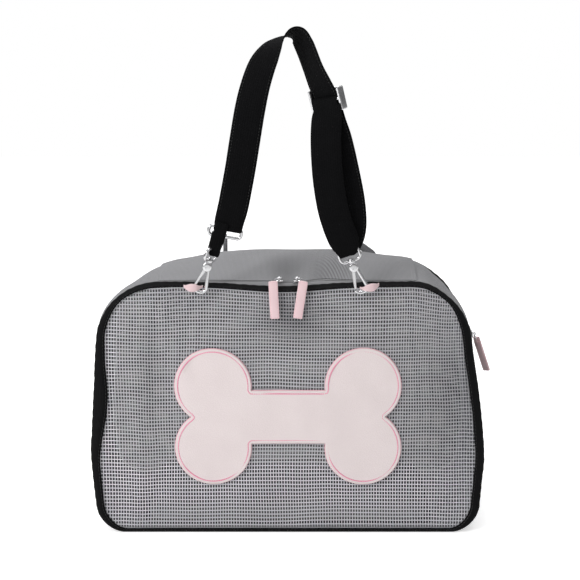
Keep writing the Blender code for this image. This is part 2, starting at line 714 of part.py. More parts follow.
def make_gate(name, frame):
    """A flat lever hung on its rivet, its tip resting inside the hook's nose."""
    outline = [(-0.0029, -0.0006), (-0.0022, 0.0006), (-0.0006, 0.0010), (0.0006, -0.0002), (0.0004, -0.0030),
               (-0.0047, -0.0228), (-0.0071, -0.0222)]
    hole = [(GATE_PIVOT.x + 0.0009 * math.cos(a), GATE_PIVOT.y + 0.0009 * math.sin(a))
            for a in (2 * math.pi * k / 10 for k in range(10))]
    prism(name, [outline, hole], -0.0011, 0.0011, frame, "nickel_steel")


def make_eye(name, frame):
    path = [frame @ Vector((x, y, 0))
            for x, y in rounded_rect(0.0220, 0.0135, 0.0032, steps=4, centre=(0.0, 0.0138))]
    eye = wire(name, path, 0.0015, "nickel_steel", closed=True)
    block = box("block", (-0.0048, 0.0056, -0.0032), (0.0048, 0.0088, 0.0032), "nickel_steel", frame)
    combine(eye, [block], "UNION")
    bore = cylinder("bore", frame @ Vector((0, 0.004, 0)), frame @ Vector((0, 0.0092, 0)), 0.0019,
                    "nickel_steel")
    return combine(eye, [bore], "DIFFERENCE")


def make_adjuster():
    """A three-bar slide: outer bars behind the webbing, the middle bar in front of it."""
    frame = tilted(ADJUSTER_AT, -ADJUSTER_TILT)
    rail_in, rail_out, half_long = 0.0168, 0.0198, 0.0122
    front, back = 0.0064, -0.0046
    body = box("strap_adjuster", (-rail_out, -half_long, back), (-rail_in, half_long, front), "nickel_steel",
               frame)
    parts = [box("rail", (rail_in, -half_long, back), (rail_out, half_long, front), "nickel_steel", frame)]
    for y, z in ((-0.0103, -0.0027), (0.0103, -0.0027), (0.0, MIDDLE_BAR)):
        parts.append(cylinder("bar", frame @ Vector((-rail_in - 0.001, y, z)),
                              frame @ Vector((rail_in + 0.001, y, z)), 0.0015, "nickel_steel", sides=10))
    bars, rail = parts[1:], parts[0]
    combine(body, bars, "UNION")
    combine(body, [rail], "UNION")
    at_bar = frame @ Matrix.Translation((0, 0, MIDDLE_BAR))
    tail = 0.014
    outer = [(0.0033 * math.cos(a), 0.0033 * math.sin(a)) for a in (math.pi * k / 8 for k in range(9))]
    inner = [(0.0018 * math.cos(a), 0.0018 * math.sin(a)) for a in (math.pi * k / 8 for k in range(9))]
    loop = outer + [(-0.0033, -tail), (-0.0018, -tail)] + inner[::-1] + [(0.0018, -0.008), (0.0033, -0.008)]
    half = 0.0160
    prism("strap_end_loop", [loop], -half, half, at_bar @ EDGEWAYS, "black_webbing")


for face_side, face_word in ((-1, "front"), (1, "rear")):
    make_face(face_side, face_word)
make_walls()
make_base()
make_applique()
make_top()
make_door()
make_top_sliders()
make_door_slider()
make_front_loops()
make_rear_loops()
make_strap()
make_strap_ring()
make_hook_tab()
make_hook("left", HOOK_HEAD_L, HOOK_TILT)
make_hook("right", HOOK_HEAD_R, -HOOK_TILT)
make_adjuster()
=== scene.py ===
"""Looks of the soft pet carrier bag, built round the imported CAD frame."""

import json
import math

import bmesh
import bpy
import numpy as np
from mathutils import Matrix, Vector, noise

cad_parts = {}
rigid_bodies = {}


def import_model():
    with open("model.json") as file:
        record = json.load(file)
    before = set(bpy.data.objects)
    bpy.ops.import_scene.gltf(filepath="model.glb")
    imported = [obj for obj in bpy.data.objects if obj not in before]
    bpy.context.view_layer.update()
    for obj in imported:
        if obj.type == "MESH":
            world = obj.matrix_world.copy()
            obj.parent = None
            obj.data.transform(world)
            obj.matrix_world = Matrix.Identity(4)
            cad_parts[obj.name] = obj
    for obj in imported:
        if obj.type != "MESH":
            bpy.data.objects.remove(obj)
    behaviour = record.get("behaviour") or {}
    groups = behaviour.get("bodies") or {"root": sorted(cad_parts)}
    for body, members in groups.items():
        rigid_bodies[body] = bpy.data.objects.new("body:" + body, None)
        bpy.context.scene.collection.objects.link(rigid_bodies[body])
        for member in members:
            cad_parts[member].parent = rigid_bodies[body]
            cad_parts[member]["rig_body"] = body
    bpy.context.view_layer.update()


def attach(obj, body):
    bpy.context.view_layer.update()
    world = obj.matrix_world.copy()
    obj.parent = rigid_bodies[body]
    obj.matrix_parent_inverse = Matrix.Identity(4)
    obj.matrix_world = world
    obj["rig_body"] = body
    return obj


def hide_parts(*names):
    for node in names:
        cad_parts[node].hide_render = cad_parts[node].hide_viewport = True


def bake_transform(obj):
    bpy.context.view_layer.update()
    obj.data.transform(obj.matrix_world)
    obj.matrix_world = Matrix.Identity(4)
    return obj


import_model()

# The bag's outline and taper, as in the CAD. Front is -Y.
OUTLINE = (
    (-0.206, 0.0, 0.033),
    (0.206, 0.0, 0.033),
    (0.214, 0.085, 0.150),
    (0.201, 0.276, 0.064),
    (-0.201, 0.276, 0.064),
    (-0.214, 0.085, 0.150),
)
BASE_DEPTH, TAPER, TOP_Z = 0.190, 0.667, 0.276


# ---------------------------------------------------------------- small maths

def smooth(low, high, value):
    t = min(max((value - low) / (high - low), 0.0), 1.0)
    return t * t * (3 - 2 * t)


def hill(value, centre, width):
    return math.exp(-((value - centre) / width) ** 2)


def wander(x, y, z, size, seed=0.0):
    """Smooth noise from -1 to 1 with features of about size metres."""
    return noise.noise(Vector((x / size + seed, y / size - seed, z / size + 3 * seed)))


def half_depth(z):
    return BASE_DEPTH / 2 * (1 - TAPER * z)


# ---------------------------------------------------------------- outline

def fillet(corners, steps):
    """Points with outward normals, (x, z, nx, nz), round a polygon with rounded corners."""
    out = []
    count = len(corners)
    for i, (x, z, radius) in enumerate(corners):
        here = Vector((x, z))
        back = (Vector(corners[i - 1][:2]) - here).normalized()
        ahead = (Vector(corners[(i + 1) % count][:2]) - here).normalized()
        half = back.angle(ahead) / 2
        centre = here + (back + ahead).normalized() * (radius / math.sin(half))
        start, end = Vector((-back.y, back.x)), Vector((ahead.y, -ahead.x))
        for arm in (start, end):
            if arm.dot(here - centre) < 0:
                arm.negate()
        sweep = start.angle(end)
        first = math.atan2(start.y, start.x)
        number = max(4, round(steps * sweep / (math.pi / 2)))
        for k in range(number + 1):
            angle = first + sweep * k / number
            normal = Vector((math.cos(angle), math.sin(angle)))
            point = centre + normal * radius
            out.append((point.x, point.y, normal.x, normal.y))
    return out


class Outline:
    """The outline by distance s along it, from the middle of the base, anticlockwise."""

    def __init__(self):
        points = fillet(OUTLINE, 28)
        start = next(i for i, p in enumerate(points) if p[0] > 0)
        points = [(0.0, 0.0, 0.0, -1.0)] + points[start:] + points[:start] + [(0.0, 0.0, 0.0, -1.0)]
        self.rows = np.array(points)
        steps = np.hypot(np.diff(self.rows[:, 0]), np.diff(self.rows[:, 1]))
        self.at_s = np.concatenate([[0.0], np.cumsum(steps)])
        self.length = float(self.at_s[-1])

    def at(self, s):
        s = s % self.length
        x, z, nx, nz = (float(np.interp(s, self.at_s, self.rows[:, k])) for k in range(4))
        size = math.hypot(nx, nz)
        return x, z, nx / size, nz / size

    def where(self, test):
        """The distances of all rows that pass a test on (x, z)."""
        return [s for s, row in zip(self.at_s, self.rows) if test(row[0], row[1])]


EDGE = Outline()
S_BASE = max(EDGE.where(lambda x, z: z < 1e-6 and x > 0))
S_TOP = min(EDGE.where(lambda x, z: z > TOP_Z - 1e-6 and x > 0))
TOP_SPLIT_X = EDGE.at(S_TOP)[0]
LENGTH = EDGE.length


def s_of_side(z):
    """Distance along the right-hand side where it is at height z."""
    inside = (EDGE.at_s >= S_BASE) & (EDGE.at_s <= S_TOP)
    return float(np.interp(z, EDGE.rows[inside, 1], EDGE.at_s[inside]))


# ---------------------------------------------------------------- how the soft bag hangs

def relax(p):
    """The soft bag's sag and lean, from a point on the neat CAD shape."""
    x, y, z = p
    top = smooth(0.17, 0.276, z)
    depth = y / half_depth(min(z, TOP_Z))
    front = smooth(-0.86, -0.99, depth)
    z -= top * front * 0.0056 * hill(x, -0.008, 0.058)
    z -= top * (0.0060 * smooth(0.130, 0.185, x) + 0.0020 * smooth(0.120, 0.170, -x))
    drop = 0.0245 * smooth(0.070, 0.190, -x) + 0.0060 * smooth(0.145, 0.165, -x)
    drop += 0.0064 * smooth(0.070, 0.135, x)
    z -= top * smooth(-0.5, 0.95, depth) * drop
    x -= 0.0085 * hill(z, 0.222, 0.072) * smooth(0.10, 0.20, x)
    edge = smooth(0.12, 0.20, abs(x)) * smooth(0.0, 0.03, z)
    x += math.copysign(0.0014, x) * wander(x, y, z, 0.09, 2.0) * edge
    return Vector((x, y, max(z, 0.0)))


def bulge(x, z, v):
    """How far the gusset's middle stands out of the flat CAD wall."""
    across = max(0.0, 1 - (v / 0.82) ** 2)
    reach = 0.172 + 0.014 * smooth(0.02, 0.10, x)
    top = 0.0192 * smooth(0.262, 0.276, z) * max(0.0, 1 - (abs(x) / reach) ** 2.6)
    side = 0.0070 * smooth(0.02, 0.09, z) * smooth(0.276, 0.20, z)
    crease = hill(x, 0.002, 0.020) * hill(v, -0.52, 0.26) - 0.6 * hill(x, 0.042, 0.018) * hill(v, -0.46, 0.34)
    crease += 0.4 * hill(x, -0.048, 0.018) * hill(v, -0.40, 0.30)
    return across ** 1.15 * (top + side) - 0.0082 * crease * smooth(0.262, 0.276, z)


def skin(s, v, out=0.0):
    """A point on the gusset: s along the outline, v from -1 (front) to 1 (rear)."""
    x, z, nx, nz = EDGE.at(s)
    reach = out + bulge(x, z, v)
    return relax(Vector((x + nx * reach, v * half_depth(z), z + nz * reach)))


def billow(x, z, side):
    """How far the mesh panel stands out in front of its seam plane."""
    across = max(0.0, 1 - (x / 0.215) ** 2)
    up = max(0.0, 1 - ((z - 0.138) / 0.142) ** 2)
    reach = 0.0045 * (across * up) ** 0.7
    fold = 0.0030 * hill(x - 0.10 * (z - 0.14), -0.150, 0.012) + 0.0018 * hill(x, 0.172, 0.014)
    fold += 0.0022 * hill(x + 0.25 * (z - 0.2), -0.118, 0.010) * smooth(0.12, 0.22, z)
    fold += 0.0022 * hill(x - 0.3 * (z - 0.2), 0.135, 0.012) * smooth(0.14, 0.24, z)
    soft = 0.0016 * wander(x, side * 0.1, z, 0.07, 5.0) + 0.0007 * wander(x, side * 0.1, z, 0.025, 9.0)
    return reach + (fold + soft) * min(1.0, 4 * across) * min(1.0, 3 * up)


def face_point(x, z, side, out=0.0):
    """A point on the front (side -1) or rear (side 1) mesh panel."""
    y = side * (half_depth(z) - 0.0021 + billow(x, z, side) + out)
    p = relax(Vector((x, side * half_depth(z) * 0.995, z)))
    return Vector((p.x, y, p.z))


# ---------------------------------------------------------------- making pieces

COLLECTION = bpy.data.collections.new("looks")
bpy.context.scene.collection.children.link(COLLECTION)


def piece(name, verts, faces, material, body, nodes=(), smooth_angle=50, uvs=None):
    """A finished mesh piece. uvs gives each vertex a (u, v) in metres for woven patterns."""
    mesh = bpy.data.meshes.new(name)
    mesh.from_pydata([tuple(v) for v in verts], [], faces)
    mesh.update()
    if uvs is not None:
        layer = mesh.uv_layers.new(name="weave")
        for loop in mesh.loops:
            layer.data[loop.index].uv = uvs[loop.vertex_index]
    work = bmesh.new()
    work.from_mesh(mesh)
    bmesh.ops.recalc_face_normals(work, faces=work.faces)
    for face in work.faces:
        face.smooth = True
    for edge in work.edges:
        edge.smooth = len(edge.link_faces) == 2 and edge.calc_face_angle() < math.radians(smooth_angle)
    work.to_mesh(mesh)
    work.free()
    obj = bpy.data.objects.new(name, mesh)
    COLLECTION.objects.link(obj)
    return dress(obj, material, body, nodes)


def dress(obj, material, body, nodes=()):
    obj.data.materials.append(material)
    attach(obj, body)
    if nodes:
        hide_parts(*nodes)
    return obj


def let_go(obj):
    """Takes a piece off its body."""
    obj.parent = None
    del obj["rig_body"]


def loft(sections, closed=False, base=0):
    """Vertices and faces through equal closed sections; open lofts get end caps."""
    count = len(sections[0])
    verts = [p for section in sections for p in section]
    faces = []
    rows = len(sections)
    for i in range(rows if closed else rows - 1):
        low, high = base + i * count, base + (i + 1) % rows * count
        for k in range(count):
            m = (k + 1) % count
            faces.append((low + k, low + m, high + m, high + k))
    if not closed:
        faces.append(tuple(base + k for k in reversed(range(count))))
        faces.append(tuple(base + (rows - 1) * count + k for k in range(count)))
    return verts, faces


def lofted(name, sections, material, body, nodes=(), smooth_angle=50, uvs=None, closed=False):
    """A piece that is a single loft."""
    verts, faces = loft(sections, closed)
    return piece(name, verts, faces, material, body, nodes, smooth_angle, uvs)


class Pile:
    """Gathers several lofts into one piece."""

    def __init__(self):
        self.verts, self.faces = [], []

    def add(self, sections):
        verts, faces = loft(sections, base=len(self.verts))
        self.verts += verts
        self.faces += faces


def distances(points):
    """How far along its path each point lies."""
    out = [0.0]
    for a, b in zip(points, points[1:]):
        out.append(out[-1] + math.dist(a, b))
    return out


def resampled(path, count, endpoint=True):
    """The path of (x, y) places with count places, evenly spaced."""
    along = distances(path)
    spots = np.linspace(0, along[-1], count, endpoint=endpoint)
    return list(zip(*(np.interp(spots, along, [p[k] for p in path]).tolist() for k in (0, 1))))


def round_section(centre, side, up, radius_a, radius_b, count=8):
    turns = (2 * math.pi * (k + 0.5) / count for k in range(count))
    return [centre + side * (radius_a * math.cos(a)) + up * (radius_b * math.sin(a)) for a in turns]


def frames(points, closed, up_hint):
    """Steady side and up directions along a path."""
    out = []
    count = len(points)
    for i, p in enumerate(points):
        ahead = points[(i + 1) % count] if closed or i < count - 1 else p
        back = points[i - 1] if closed or i > 0 else p
        tangent = (ahead - back).normalized()
        side = tangent.cross(up_hint)
        if side.length < 1e-4:
            side = tangent.cross(up_hint.orthogonal())
        side.normalize()
        out.append((p, side, side.cross(tangent).normalized()))
    return out


def swept(points, closed, across, shape):
    """Sections of one shape along a path; the shape's places are (along across, outward)."""
    return [[p + across * a + through * b for a, b in shape]
            for p, through, _ in frames(points, closed, across)]


def tube(name, points, radius, material, body, nodes=(), closed=False, up=Vector((0, 1, 0)), count=12,
         radii=None):
    sections = []
    for i, (p, side, lift) in enumerate(frames(points, closed, up)):
        r = radii[i] if radii else radius
        sections.append(round_section(p, side, lift, r, r, count))
    return lofted(name, sections, material, body, nodes, closed=closed)


def shell(grid, keep, thick, flip=False):
    """A two-sided sheet from a grid of points: only kept cells, closed round every border."""
    rows, columns = len(grid), len(grid[0])
    points = np.array([[tuple(p) for p in row] for row in grid])
    du = np.gradient(points, axis=1)
    dv = np.gradient(points, axis=0)
    normal = np.cross(du, dv)
    normal /= np.linalg.norm(normal, axis=2, keepdims=True) + 1e-12
    if flip:
        normal = -normal
    inner = points - normal * thick
    verts = [Vector(p) for p in points.reshape(-1, 3)] + [Vector(p) for p in inner.reshape(-1, 3)]
    layer = rows * columns
    faces, border = [], {}
    for i in range(rows - 1):
        for j in range(columns - 1):
            if not keep(i, j):
                continue
            quad = (i * columns + j, i * columns + j + 1, (i + 1) * columns + j + 1, (i + 1) * columns + j)
            faces.append(quad)
            faces.append(tuple(layer + q for q in reversed(quad)))
            for a, b in zip(quad, quad[1:] + quad[:1]):
                if (b, a) in border:
                    del border[(b, a)]
                else:
                    border[(a, b)] = True
    for a, b in border:
        faces.append((b, a, layer + a, layer + b))
    used = sorted({v for face in faces for v in face})
    renumber = {v: k for k, v in enumerate(used)}
    return [verts[v] for v in used], [tuple(renumber[v] for v in face) for face in faces], used


def spaced(low, high, step):
    count = max(2, round(abs(high - low) / step))
    return [low + (high - low) * k / count for k in range(count + 1)]


# ---------------------------------------------------------------- materials

def new_material(name, colour, roughness, metallic=0.0, specular=0.5, sheen=0.0, coat=0.0):
    material = bpy.data.materials.new(name)
    material.use_nodes = True
    shader = material.node_tree.nodes["Principled BSDF"]
    for entry, value in (("Base Color", (*colour, 1.0)), ("Roughness", roughness), ("Metallic", metallic),
                         ("Specular IOR Level", specular), ("Sheen Weight", sheen), ("Coat Weight", coat)):
        shader.inputs[entry].default_value = value
    return material, material.node_tree, shader


def node(tree, kind, **settings):
    made = tree.nodes.new(kind)
    for key, value in settings.items():
        setattr(made, key, value)
    return made


def maths(tree, operation, *values):
    made = node(tree, "ShaderNodeMath", operation=operation)
    for entry, value in zip(made.inputs, values):
        if isinstance(value, Value):
            value.into(entry)
        else:
            entry.default_value = value
    return Value(tree, made.outputs[0])


class Value:
    """A number in a node tree, so that sums in materials are written as sums."""

    def __init__(self, tree, socket):
        self.tree, self.socket = tree, socket

    def into(self, entry):
        self.tree.links.new(self.socket, entry)

    def __add__(self, other):
        return maths(self.tree, "ADD", self, other)

    def __sub__(self, other):
        return maths(self.tree, "SUBTRACT", self, other)

    def __rsub__(self, other):
        return maths(self.tree, "SUBTRACT", other, self)

    def __mul__(self, other):
        return maths(self.tree, "MULTIPLY", self, other)

    def __truediv__(self, other):
        return maths(self.tree, "DIVIDE", self, other)

    def __pow__(self, other):
        return maths(self.tree, "POWER", self, other)

    def __rpow__(self, other):
        return maths(self.tree, "POWER", other, self)


def object_place(tree):
    return node(tree, "ShaderNodeTexCoord").outputs["Object"]


def split(tree, socket):
    made = node(tree, "ShaderNodeSeparateXYZ")
    tree.links.new(socket, made.inputs[0])
    return [Value(tree, out) for out in made.outputs]


def noise_value(tree, scale, detail=3.0):
    made = node(tree, "ShaderNodeTexNoise")
    made.inputs["Scale"].default_value = scale
    made.inputs["Detail"].default_value = detail
    tree.links.new(object_place(tree), made.inputs["Vector"])
    return Value(tree, made.outputs["Fac"])


def colour_between(shader, factor, low, high):
    """The shader's colour runs from low to high with the factor."""
    mix = node(factor.tree, "ShaderNodeMix", data_type="RGBA")
    factor.into(mix.inputs["Factor"])
    mix.inputs["A"].default_value = (*low, 1.0)
    mix.inputs["B"].default_value = (*high, 1.0)
    factor.tree.links.new(mix.outputs["Result"], shader.inputs["Base Color"])


def bump(shader, height, distance, strength):
    made = node(height.tree, "ShaderNodeBump")
    made.inputs["Distance"].default_value = distance
    made.inputs["Strength"].default_value = strength
    height.into(made.inputs["Height"])
    height.tree.links.new(made.outputs["Normal"], shader.inputs["Normal"])


def ridges(value, pitch, phase=None):
    """0 to 1 ridges every pitch metres along value."""
    turned = value * (math.pi / pitch)
    if phase is not None:
        turned = turned + phase
    return maths(value.tree, "ABSOLUTE", maths(value.tree, "SINE", turned))


def weave_uv(tree):
    """How far across and how far along the cloth, in metres."""
    return split(tree, node(tree, "ShaderNodeUVMap", uv_map="weave").outputs["UV"])[:2]


def webbing_material(name, low, high, pitch=0.0016, rough=0.72, shine=0.3):
    """Woven tape: short ribs that step over at each column."""
    material, tree, shader = new_material(name, low, rough, specular=shine, sheen=shine * 0.2)
    u, v = weave_uv(tree)
    column = maths(tree, "FLOOR", u / (pitch * 1.5))
    rib = ridges(v, pitch, column * (math.pi / 2))
    height = rib ** 0.6 * ridges(u, pitch * 1.5) ** 0.35
    colour_between(shader, height * (noise_value(tree, 60.0) * 0.5 + 0.55), low, high)
    bump(shader, height, 0.0003, 0.8)
    return material


def net_fabric_material(name, low, high, pitch):
    """Fine knitted mesh: dark pores between light yarns."""
    material, tree, shader = new_material(name, high, 0.75, specular=0.3, sheen=0.15)
    u, v = weave_uv(tree)
    yarn = 1.0 - (ridges(u, pitch) * ridges(v, pitch * 0.82)) ** 1.4
    cloud, fine = noise_value(tree, 14.0, 2.0), noise_value(tree, 900.0, 2.0)
    colour_between(shader, yarn * (cloud * 0.35 + 0.75) * (fine * 0.3 + 0.85), low, high)
    bump(shader, yarn, 0.0003, 0.7)
    return material


def spot(place, x, y, wide, deep, axis=1):
    """1 at a place on the bag, fading to 0 over the given half sizes along X and the other axis."""
    dx, dy = (place[0] - x) / wide, (place[axis] - y) / deep
    return math.e ** ((dx * dx + dy * dy) * -1.0)


def darkened(material, dark):
    """The material with its colour drawn towards black by the value dark."""
    links = material.node_tree.links
    colour = material.node_tree.nodes["Principled BSDF"].inputs["Base Color"]
    mix = node(material.node_tree, "ShaderNodeMix", data_type="RGBA")
    dark.into(mix.inputs["Factor"])
    links.new(colour.links[0].from_socket, mix.inputs["A"])
    mix.inputs["B"].default_value = (0.03, 0.03, 0.032, 1.0)
    links.new(mix.outputs["Result"], colour)
    return material


def net_with_painted_shade(material):
    """Paints shade into the net's colour: under the pulls, towards its right end and along the fold at its
    left, where less light reaches it.
    """
    place = split(material.node_tree, object_place(material.node_tree))
    dark = spot(place, 0.006, 0.240, 0.036, 0.026, 2) * 0.46
    dark += spot(place, 0.225, 0.165, 0.095, 0.100, 2) * 0.46
    dark += spot(place, -0.152, 0.190, 0.012, 0.060, 2) * 0.20
    return darkened(material, dark)


def crease_shading(material):
    """Paints shade into the lid's cloth in its folds and over its right side, and draws the rings where two
    layers of mesh beat.
    """
    tree = material.node_tree
    place = split(tree, object_place(tree))
    dark = spot(place, -0.001, -0.058, 0.017, 0.030) * 0.42
    dark += spot(place, 0.034, -0.056, 0.014, 0.020) * 0.26
    dark += spot(place, 0.10, -0.02, 0.09, 0.07) * 0.10
    dx, dy = place[0] - 0.018, (place[1] + 0.085) * 0.62
    beat = maths(tree, "SINE", maths(tree, "SQRT", dx * dx + dy * dy) * (2 * math.pi / BEAT_PITCH))
    return darkened(material, dark + beat * spot(place, 0.055, -0.048, 0.016, 0.028) * 0.42)


def thread_material(name, low, high, rough=0.5):
    material, tree, shader = new_material(name, high, rough, specular=0.4)
    fine = noise_value(tree, 420.0, 2.0)
    colour_between(shader, noise_value(tree, 18.0) * 0.6 + fine * 0.4, low, high)
    bump(shader, fine, 0.0002, 0.5)
    return material


def leather_material(name, low, high, rough=0.42):
    """Coated leather: fine pebbled grain with soft cloudy colour."""
    material, tree, shader = new_material(name, high, rough, specular=0.45, coat=0.08)
    cells = node(tree, "ShaderNodeTexVoronoi")
    cells.inputs["Scale"].default_value = 900.0
    tree.links.new(object_place(tree), cells.inputs["Vector"])
    grain = Value(tree, cells.outputs["Distance"]) + noise_value(tree, 1500.0, 2.0) * 0.5
    cloud = noise_value(tree, 25.0)
    colour_between(shader, cloud * 0.7 + grain * 0.3, low, high)
    (cloud * 0.2 + (rough - 0.08)).into(shader.inputs["Roughness"])
    bump(shader, grain, 0.00025, 0.6)
    return material


def metal_material(name, low, high, rough):
    material, tree, shader = new_material(name, high, rough, metallic=1.0)
    fine = noise_value(tree, 1100.0)
    colour_between(shader, noise_value(tree, 160.0, 4.0), low, high)
    (fine * 0.16 + (rough - 0.08)).into(shader.inputs["Roughness"])
    bump(shader, fine, 0.00004, 0.4)
    return material


def plastic_material(name, low, high, rough):
    material, tree, shader = new_material(name, high, rough)
    colour_between(shader, noise_value(tree, 40.0), low, high)
    bump(shader, noise_value(tree, 1300.0, 2.0), 0.0001, 0.4)
    return material


BEAT_PITCH = 0.0032  # between the rings where the lid's two layers beat
# The front net's thread colour carries painted shade under the pulls, towards its right end and along a fold
# at its left.
NET = net_with_painted_shade(thread_material("net_thread", (0.53, 0.53, 0.56), (0.77, 0.77, 0.80)))
NET_REAR = thread_material("net_thread_rear", (0.20, 0.20, 0.21), (0.30, 0.30, 0.31))
BACKING = thread_material("backing_cloth", (0.060, 0.060, 0.066), (0.10, 0.10, 0.108), 0.9)
GREY = net_fabric_material("grey_mesh_cloth", (0.10, 0.10, 0.105), (0.29, 0.29, 0.30), 0.0013)
# The lid's cloth is the grey cloth with painted shade in its folds and over its right side.
GREY_LID = net_fabric_material("grey_lid_cloth", (0.10, 0.10, 0.105), (0.30, 0.30, 0.31), 0.0013)
crease_shading(GREY_LID)
BLACK = webbing_material("black_strap_weave", (0.0012, 0.0012, 0.0015), (0.0062, 0.0062, 0.0068), shine=0.05)
TAPE = webbing_material("black_binding_weave", (0.0022, 0.0022, 0.0026), (0.0085, 0.0085, 0.0092), 0.0011,
                        shine=0.08)
PINK_WEB = webbing_material("pink_loop_weave", (0.76, 0.54, 0.56), (0.90, 0.71, 0.73), 0.0012, 0.7)
PINK = leather_material("pale_pink_leather", (0.76, 0.66, 0.66), (0.85, 0.76, 0.75))
PINK_PULL = leather_material("pull_leather", (0.83, 0.60, 0.62), (0.92, 0.70, 0.72))
STITCH = thread_material("pink_stitch", (0.80, 0.26, 0.40), (0.93, 0.42, 0.55), 0.55)
BLACK_THREAD = thread_material("black_stitch", (0.006, 0.006, 0.006), (0.03, 0.03, 0.03), 0.6)
NICKEL = metal_material("nickel", (0.68, 0.68, 0.69), (0.82, 0.82, 0.83), 0.24)
HOOP = metal_material("hoop_wire", (0.30, 0.30, 0.31), (0.42, 0.42, 0.43), 0.4)
BOARD = plastic_material("board_plastic", (0.012, 0.012, 0.013), (0.03, 0.03, 0.032), 0.5)
COIL = plastic_material("coil_nylon", (0.20, 0.20, 0.205), (0.28, 0.28, 0.285), 0.6)
ZIP = webbing_material("zip_tape_weave", (0.16, 0.16, 0.165), (0.25, 0.25, 0.26), 0.0011)
ZIP_SIDE = webbing_material("side_zip_tape_weave", (0.07, 0.07, 0.073), (0.13, 0.13, 0.135), 0.0011)
COIL_SIDE = plastic_material("side_coil_nylon", (0.035, 0.035, 0.037), (0.07, 0.07, 0.073), 0.4)
GREY_THREAD = thread_material("grey_stitch", (0.22, 0.22, 0.225), (0.34, 0.34, 0.345), 0.6)
GREY_WEB = webbing_material("grey_loop_weave", (0.14, 0.14, 0.145), (0.30, 0.30, 0.31), 0.0013)
PINK_EDGE = leather_material("pink_edge", (0.80, 0.46, 0.52), (0.90, 0.58, 0.64), 0.5)
STITCH_PALE = thread_material("pale_pink_stitch", (0.74, 0.40, 0.45), (0.84, 0.52, 0.56), 0.55)
PAD = net_fabric_material("pad_cloth", (0.05, 0.05, 0.053), (0.13, 0.13, 0.135), 0.0022)


# ---------------------------------------------------------------- stage, lights and camera

FLOOR_GLOW = 0.50  # the white paper's own light, seen only by the camera


def make_stage():
    mesh = bpy.data.meshes.new("floor")
    size, back = 6.0, 3.0
    corners = [(-size, -size, 0), (size, -size, 0), (size, back, 0), (-size, back, 0)]
    mesh.from_pydata(corners, [], [(0, 1, 2, 3)])
    floor = bpy.data.objects.new("floor", mesh)
    bpy.context.scene.collection.objects.link(floor)
    floor.location.z = -0.0002
    material, tree, shader = new_material("floor_paper", (0.93, 0.93, 0.93), 0.9, specular=0.1)
    colour_between(shader, noise_value(tree, 3.0, 2.0), (0.93, 0.93, 0.93), (0.95, 0.95, 0.95))
    seen = Value(tree, node(tree, "ShaderNodeLightPath").outputs["Is Camera Ray"])
    (seen * FLOOR_GLOW).into(shader.inputs["Emission Strength"])
    shader.inputs["Emission Color"].default_value = (1.0, 1.0, 1.0, 1.0)
    mesh.materials.append(material)


def area_light(name, place, aim, size, power):
    data = bpy.data.lights.new(name, "AREA")
    data.shape = "DISK"
    data.size = size
    data.energy = power
    lamp = bpy.data.objects.new(name, data)
    bpy.context.scene.collection.objects.link(lamp)
    lamp.location = place
    lamp.rotation_euler = (Vector(aim) - Vector(place)).to_track_quat("-Z", "Y").to_euler()


ROOM_LIGHT = 0.62


def make_lights():
    world = bpy.data.worlds.new("studio")
    bpy.context.scene.world = world
    world.use_nodes = True
    tree = world.node_tree
    back = tree.nodes["Background"]
    back.inputs["Color"].default_value = (1.0, 1.0, 1.0, 1.0)
    back.inputs["Strength"].default_value = 1.0
    room = node(tree, "ShaderNodeBackground")
    height = split(tree, node(tree, "ShaderNodeTexCoord").outputs["Generated"])[2]
    ramp = node(tree, "ShaderNodeValToRGB")
    (height * 0.5 + 0.5).into(ramp.inputs[0])
    stops = ((0.0, 0.75), (0.47, 0.60), (0.53, 0.16), (0.66, 0.30), (0.86, 1.0), (1.0, 1.0))
    marks = ramp.color_ramp.elements
    for place, level in stops[1:-1]:
        marks.new(place)
    for mark, (place, level) in zip(marks, stops):
        mark.position = place
        mark.color = (level, level, level * 1.01, 1.0)
    tree.links.new(ramp.outputs["Color"], room.inputs["Color"])
    room.inputs["Strength"].default_value = ROOM_LIGHT
    mix = node(tree, "ShaderNodeMixShader")
    tree.links.new(node(tree, "ShaderNodeLightPath").outputs["Is Camera Ray"], mix.inputs[0])
    tree.links.new(room.outputs[0], mix.inputs[1])
    tree.links.new(back.outputs[0], mix.inputs[2])
    tree.links.new(mix.outputs[0], tree.nodes["World Output"].inputs["Surface"])
    area_light("key", (-1.6, -1.3, 1.4), (0, 0, 0.2), 1.0, 29)
    area_light("fill", (1.6, -1.4, 0.9), (0, 0, 0.2), 0.9, 1.0)
    area_light("top", (0.0, 0.5, 2.2), (0, 0, 0.2), 1.6, 26)
    bpy.context.scene.view_settings.view_transform = "Standard"


CAMERA_AIM = Vector((0.002, -0.080, 0.269))
CAMERA_ELEVATION = math.radians(13)
CAMERA_DISTANCE = 1.5
WIDE_AT_AIM = 0.6175  # metres across the frame at the aim's distance


def make_camera():
    data = bpy.data.cameras.new("camera")
    data.sensor_width = 36.0
    data.lens = 36.0 * CAMERA_DISTANCE / WIDE_AT_AIM
    camera = bpy.data.objects.new("camera", data)
    bpy.context.scene.collection.objects.link(camera)
    away = Vector((0, -math.cos(CAMERA_ELEVATION), math.sin(CAMERA_ELEVATION)))
    camera.location = CAMERA_AIM + away * CAMERA_DISTANCE
    camera.rotation_euler = (-away).to_track_quat("-Z", "Y").to_euler()
    bpy.context.scene.camera = camera


# ---------------------------------------------------------------- mesh panels

NET_PITCH_X, NET_PITCH_Z = 0.00296, 0.0041
NET_HALF_WIDE, NET_HALF_THICK = 0.00066, 0.00032  # of the upright threads
ROW_WIDER = 1.3  # the rows are this much wider than the upright threads
NET_REACH = 0.2135


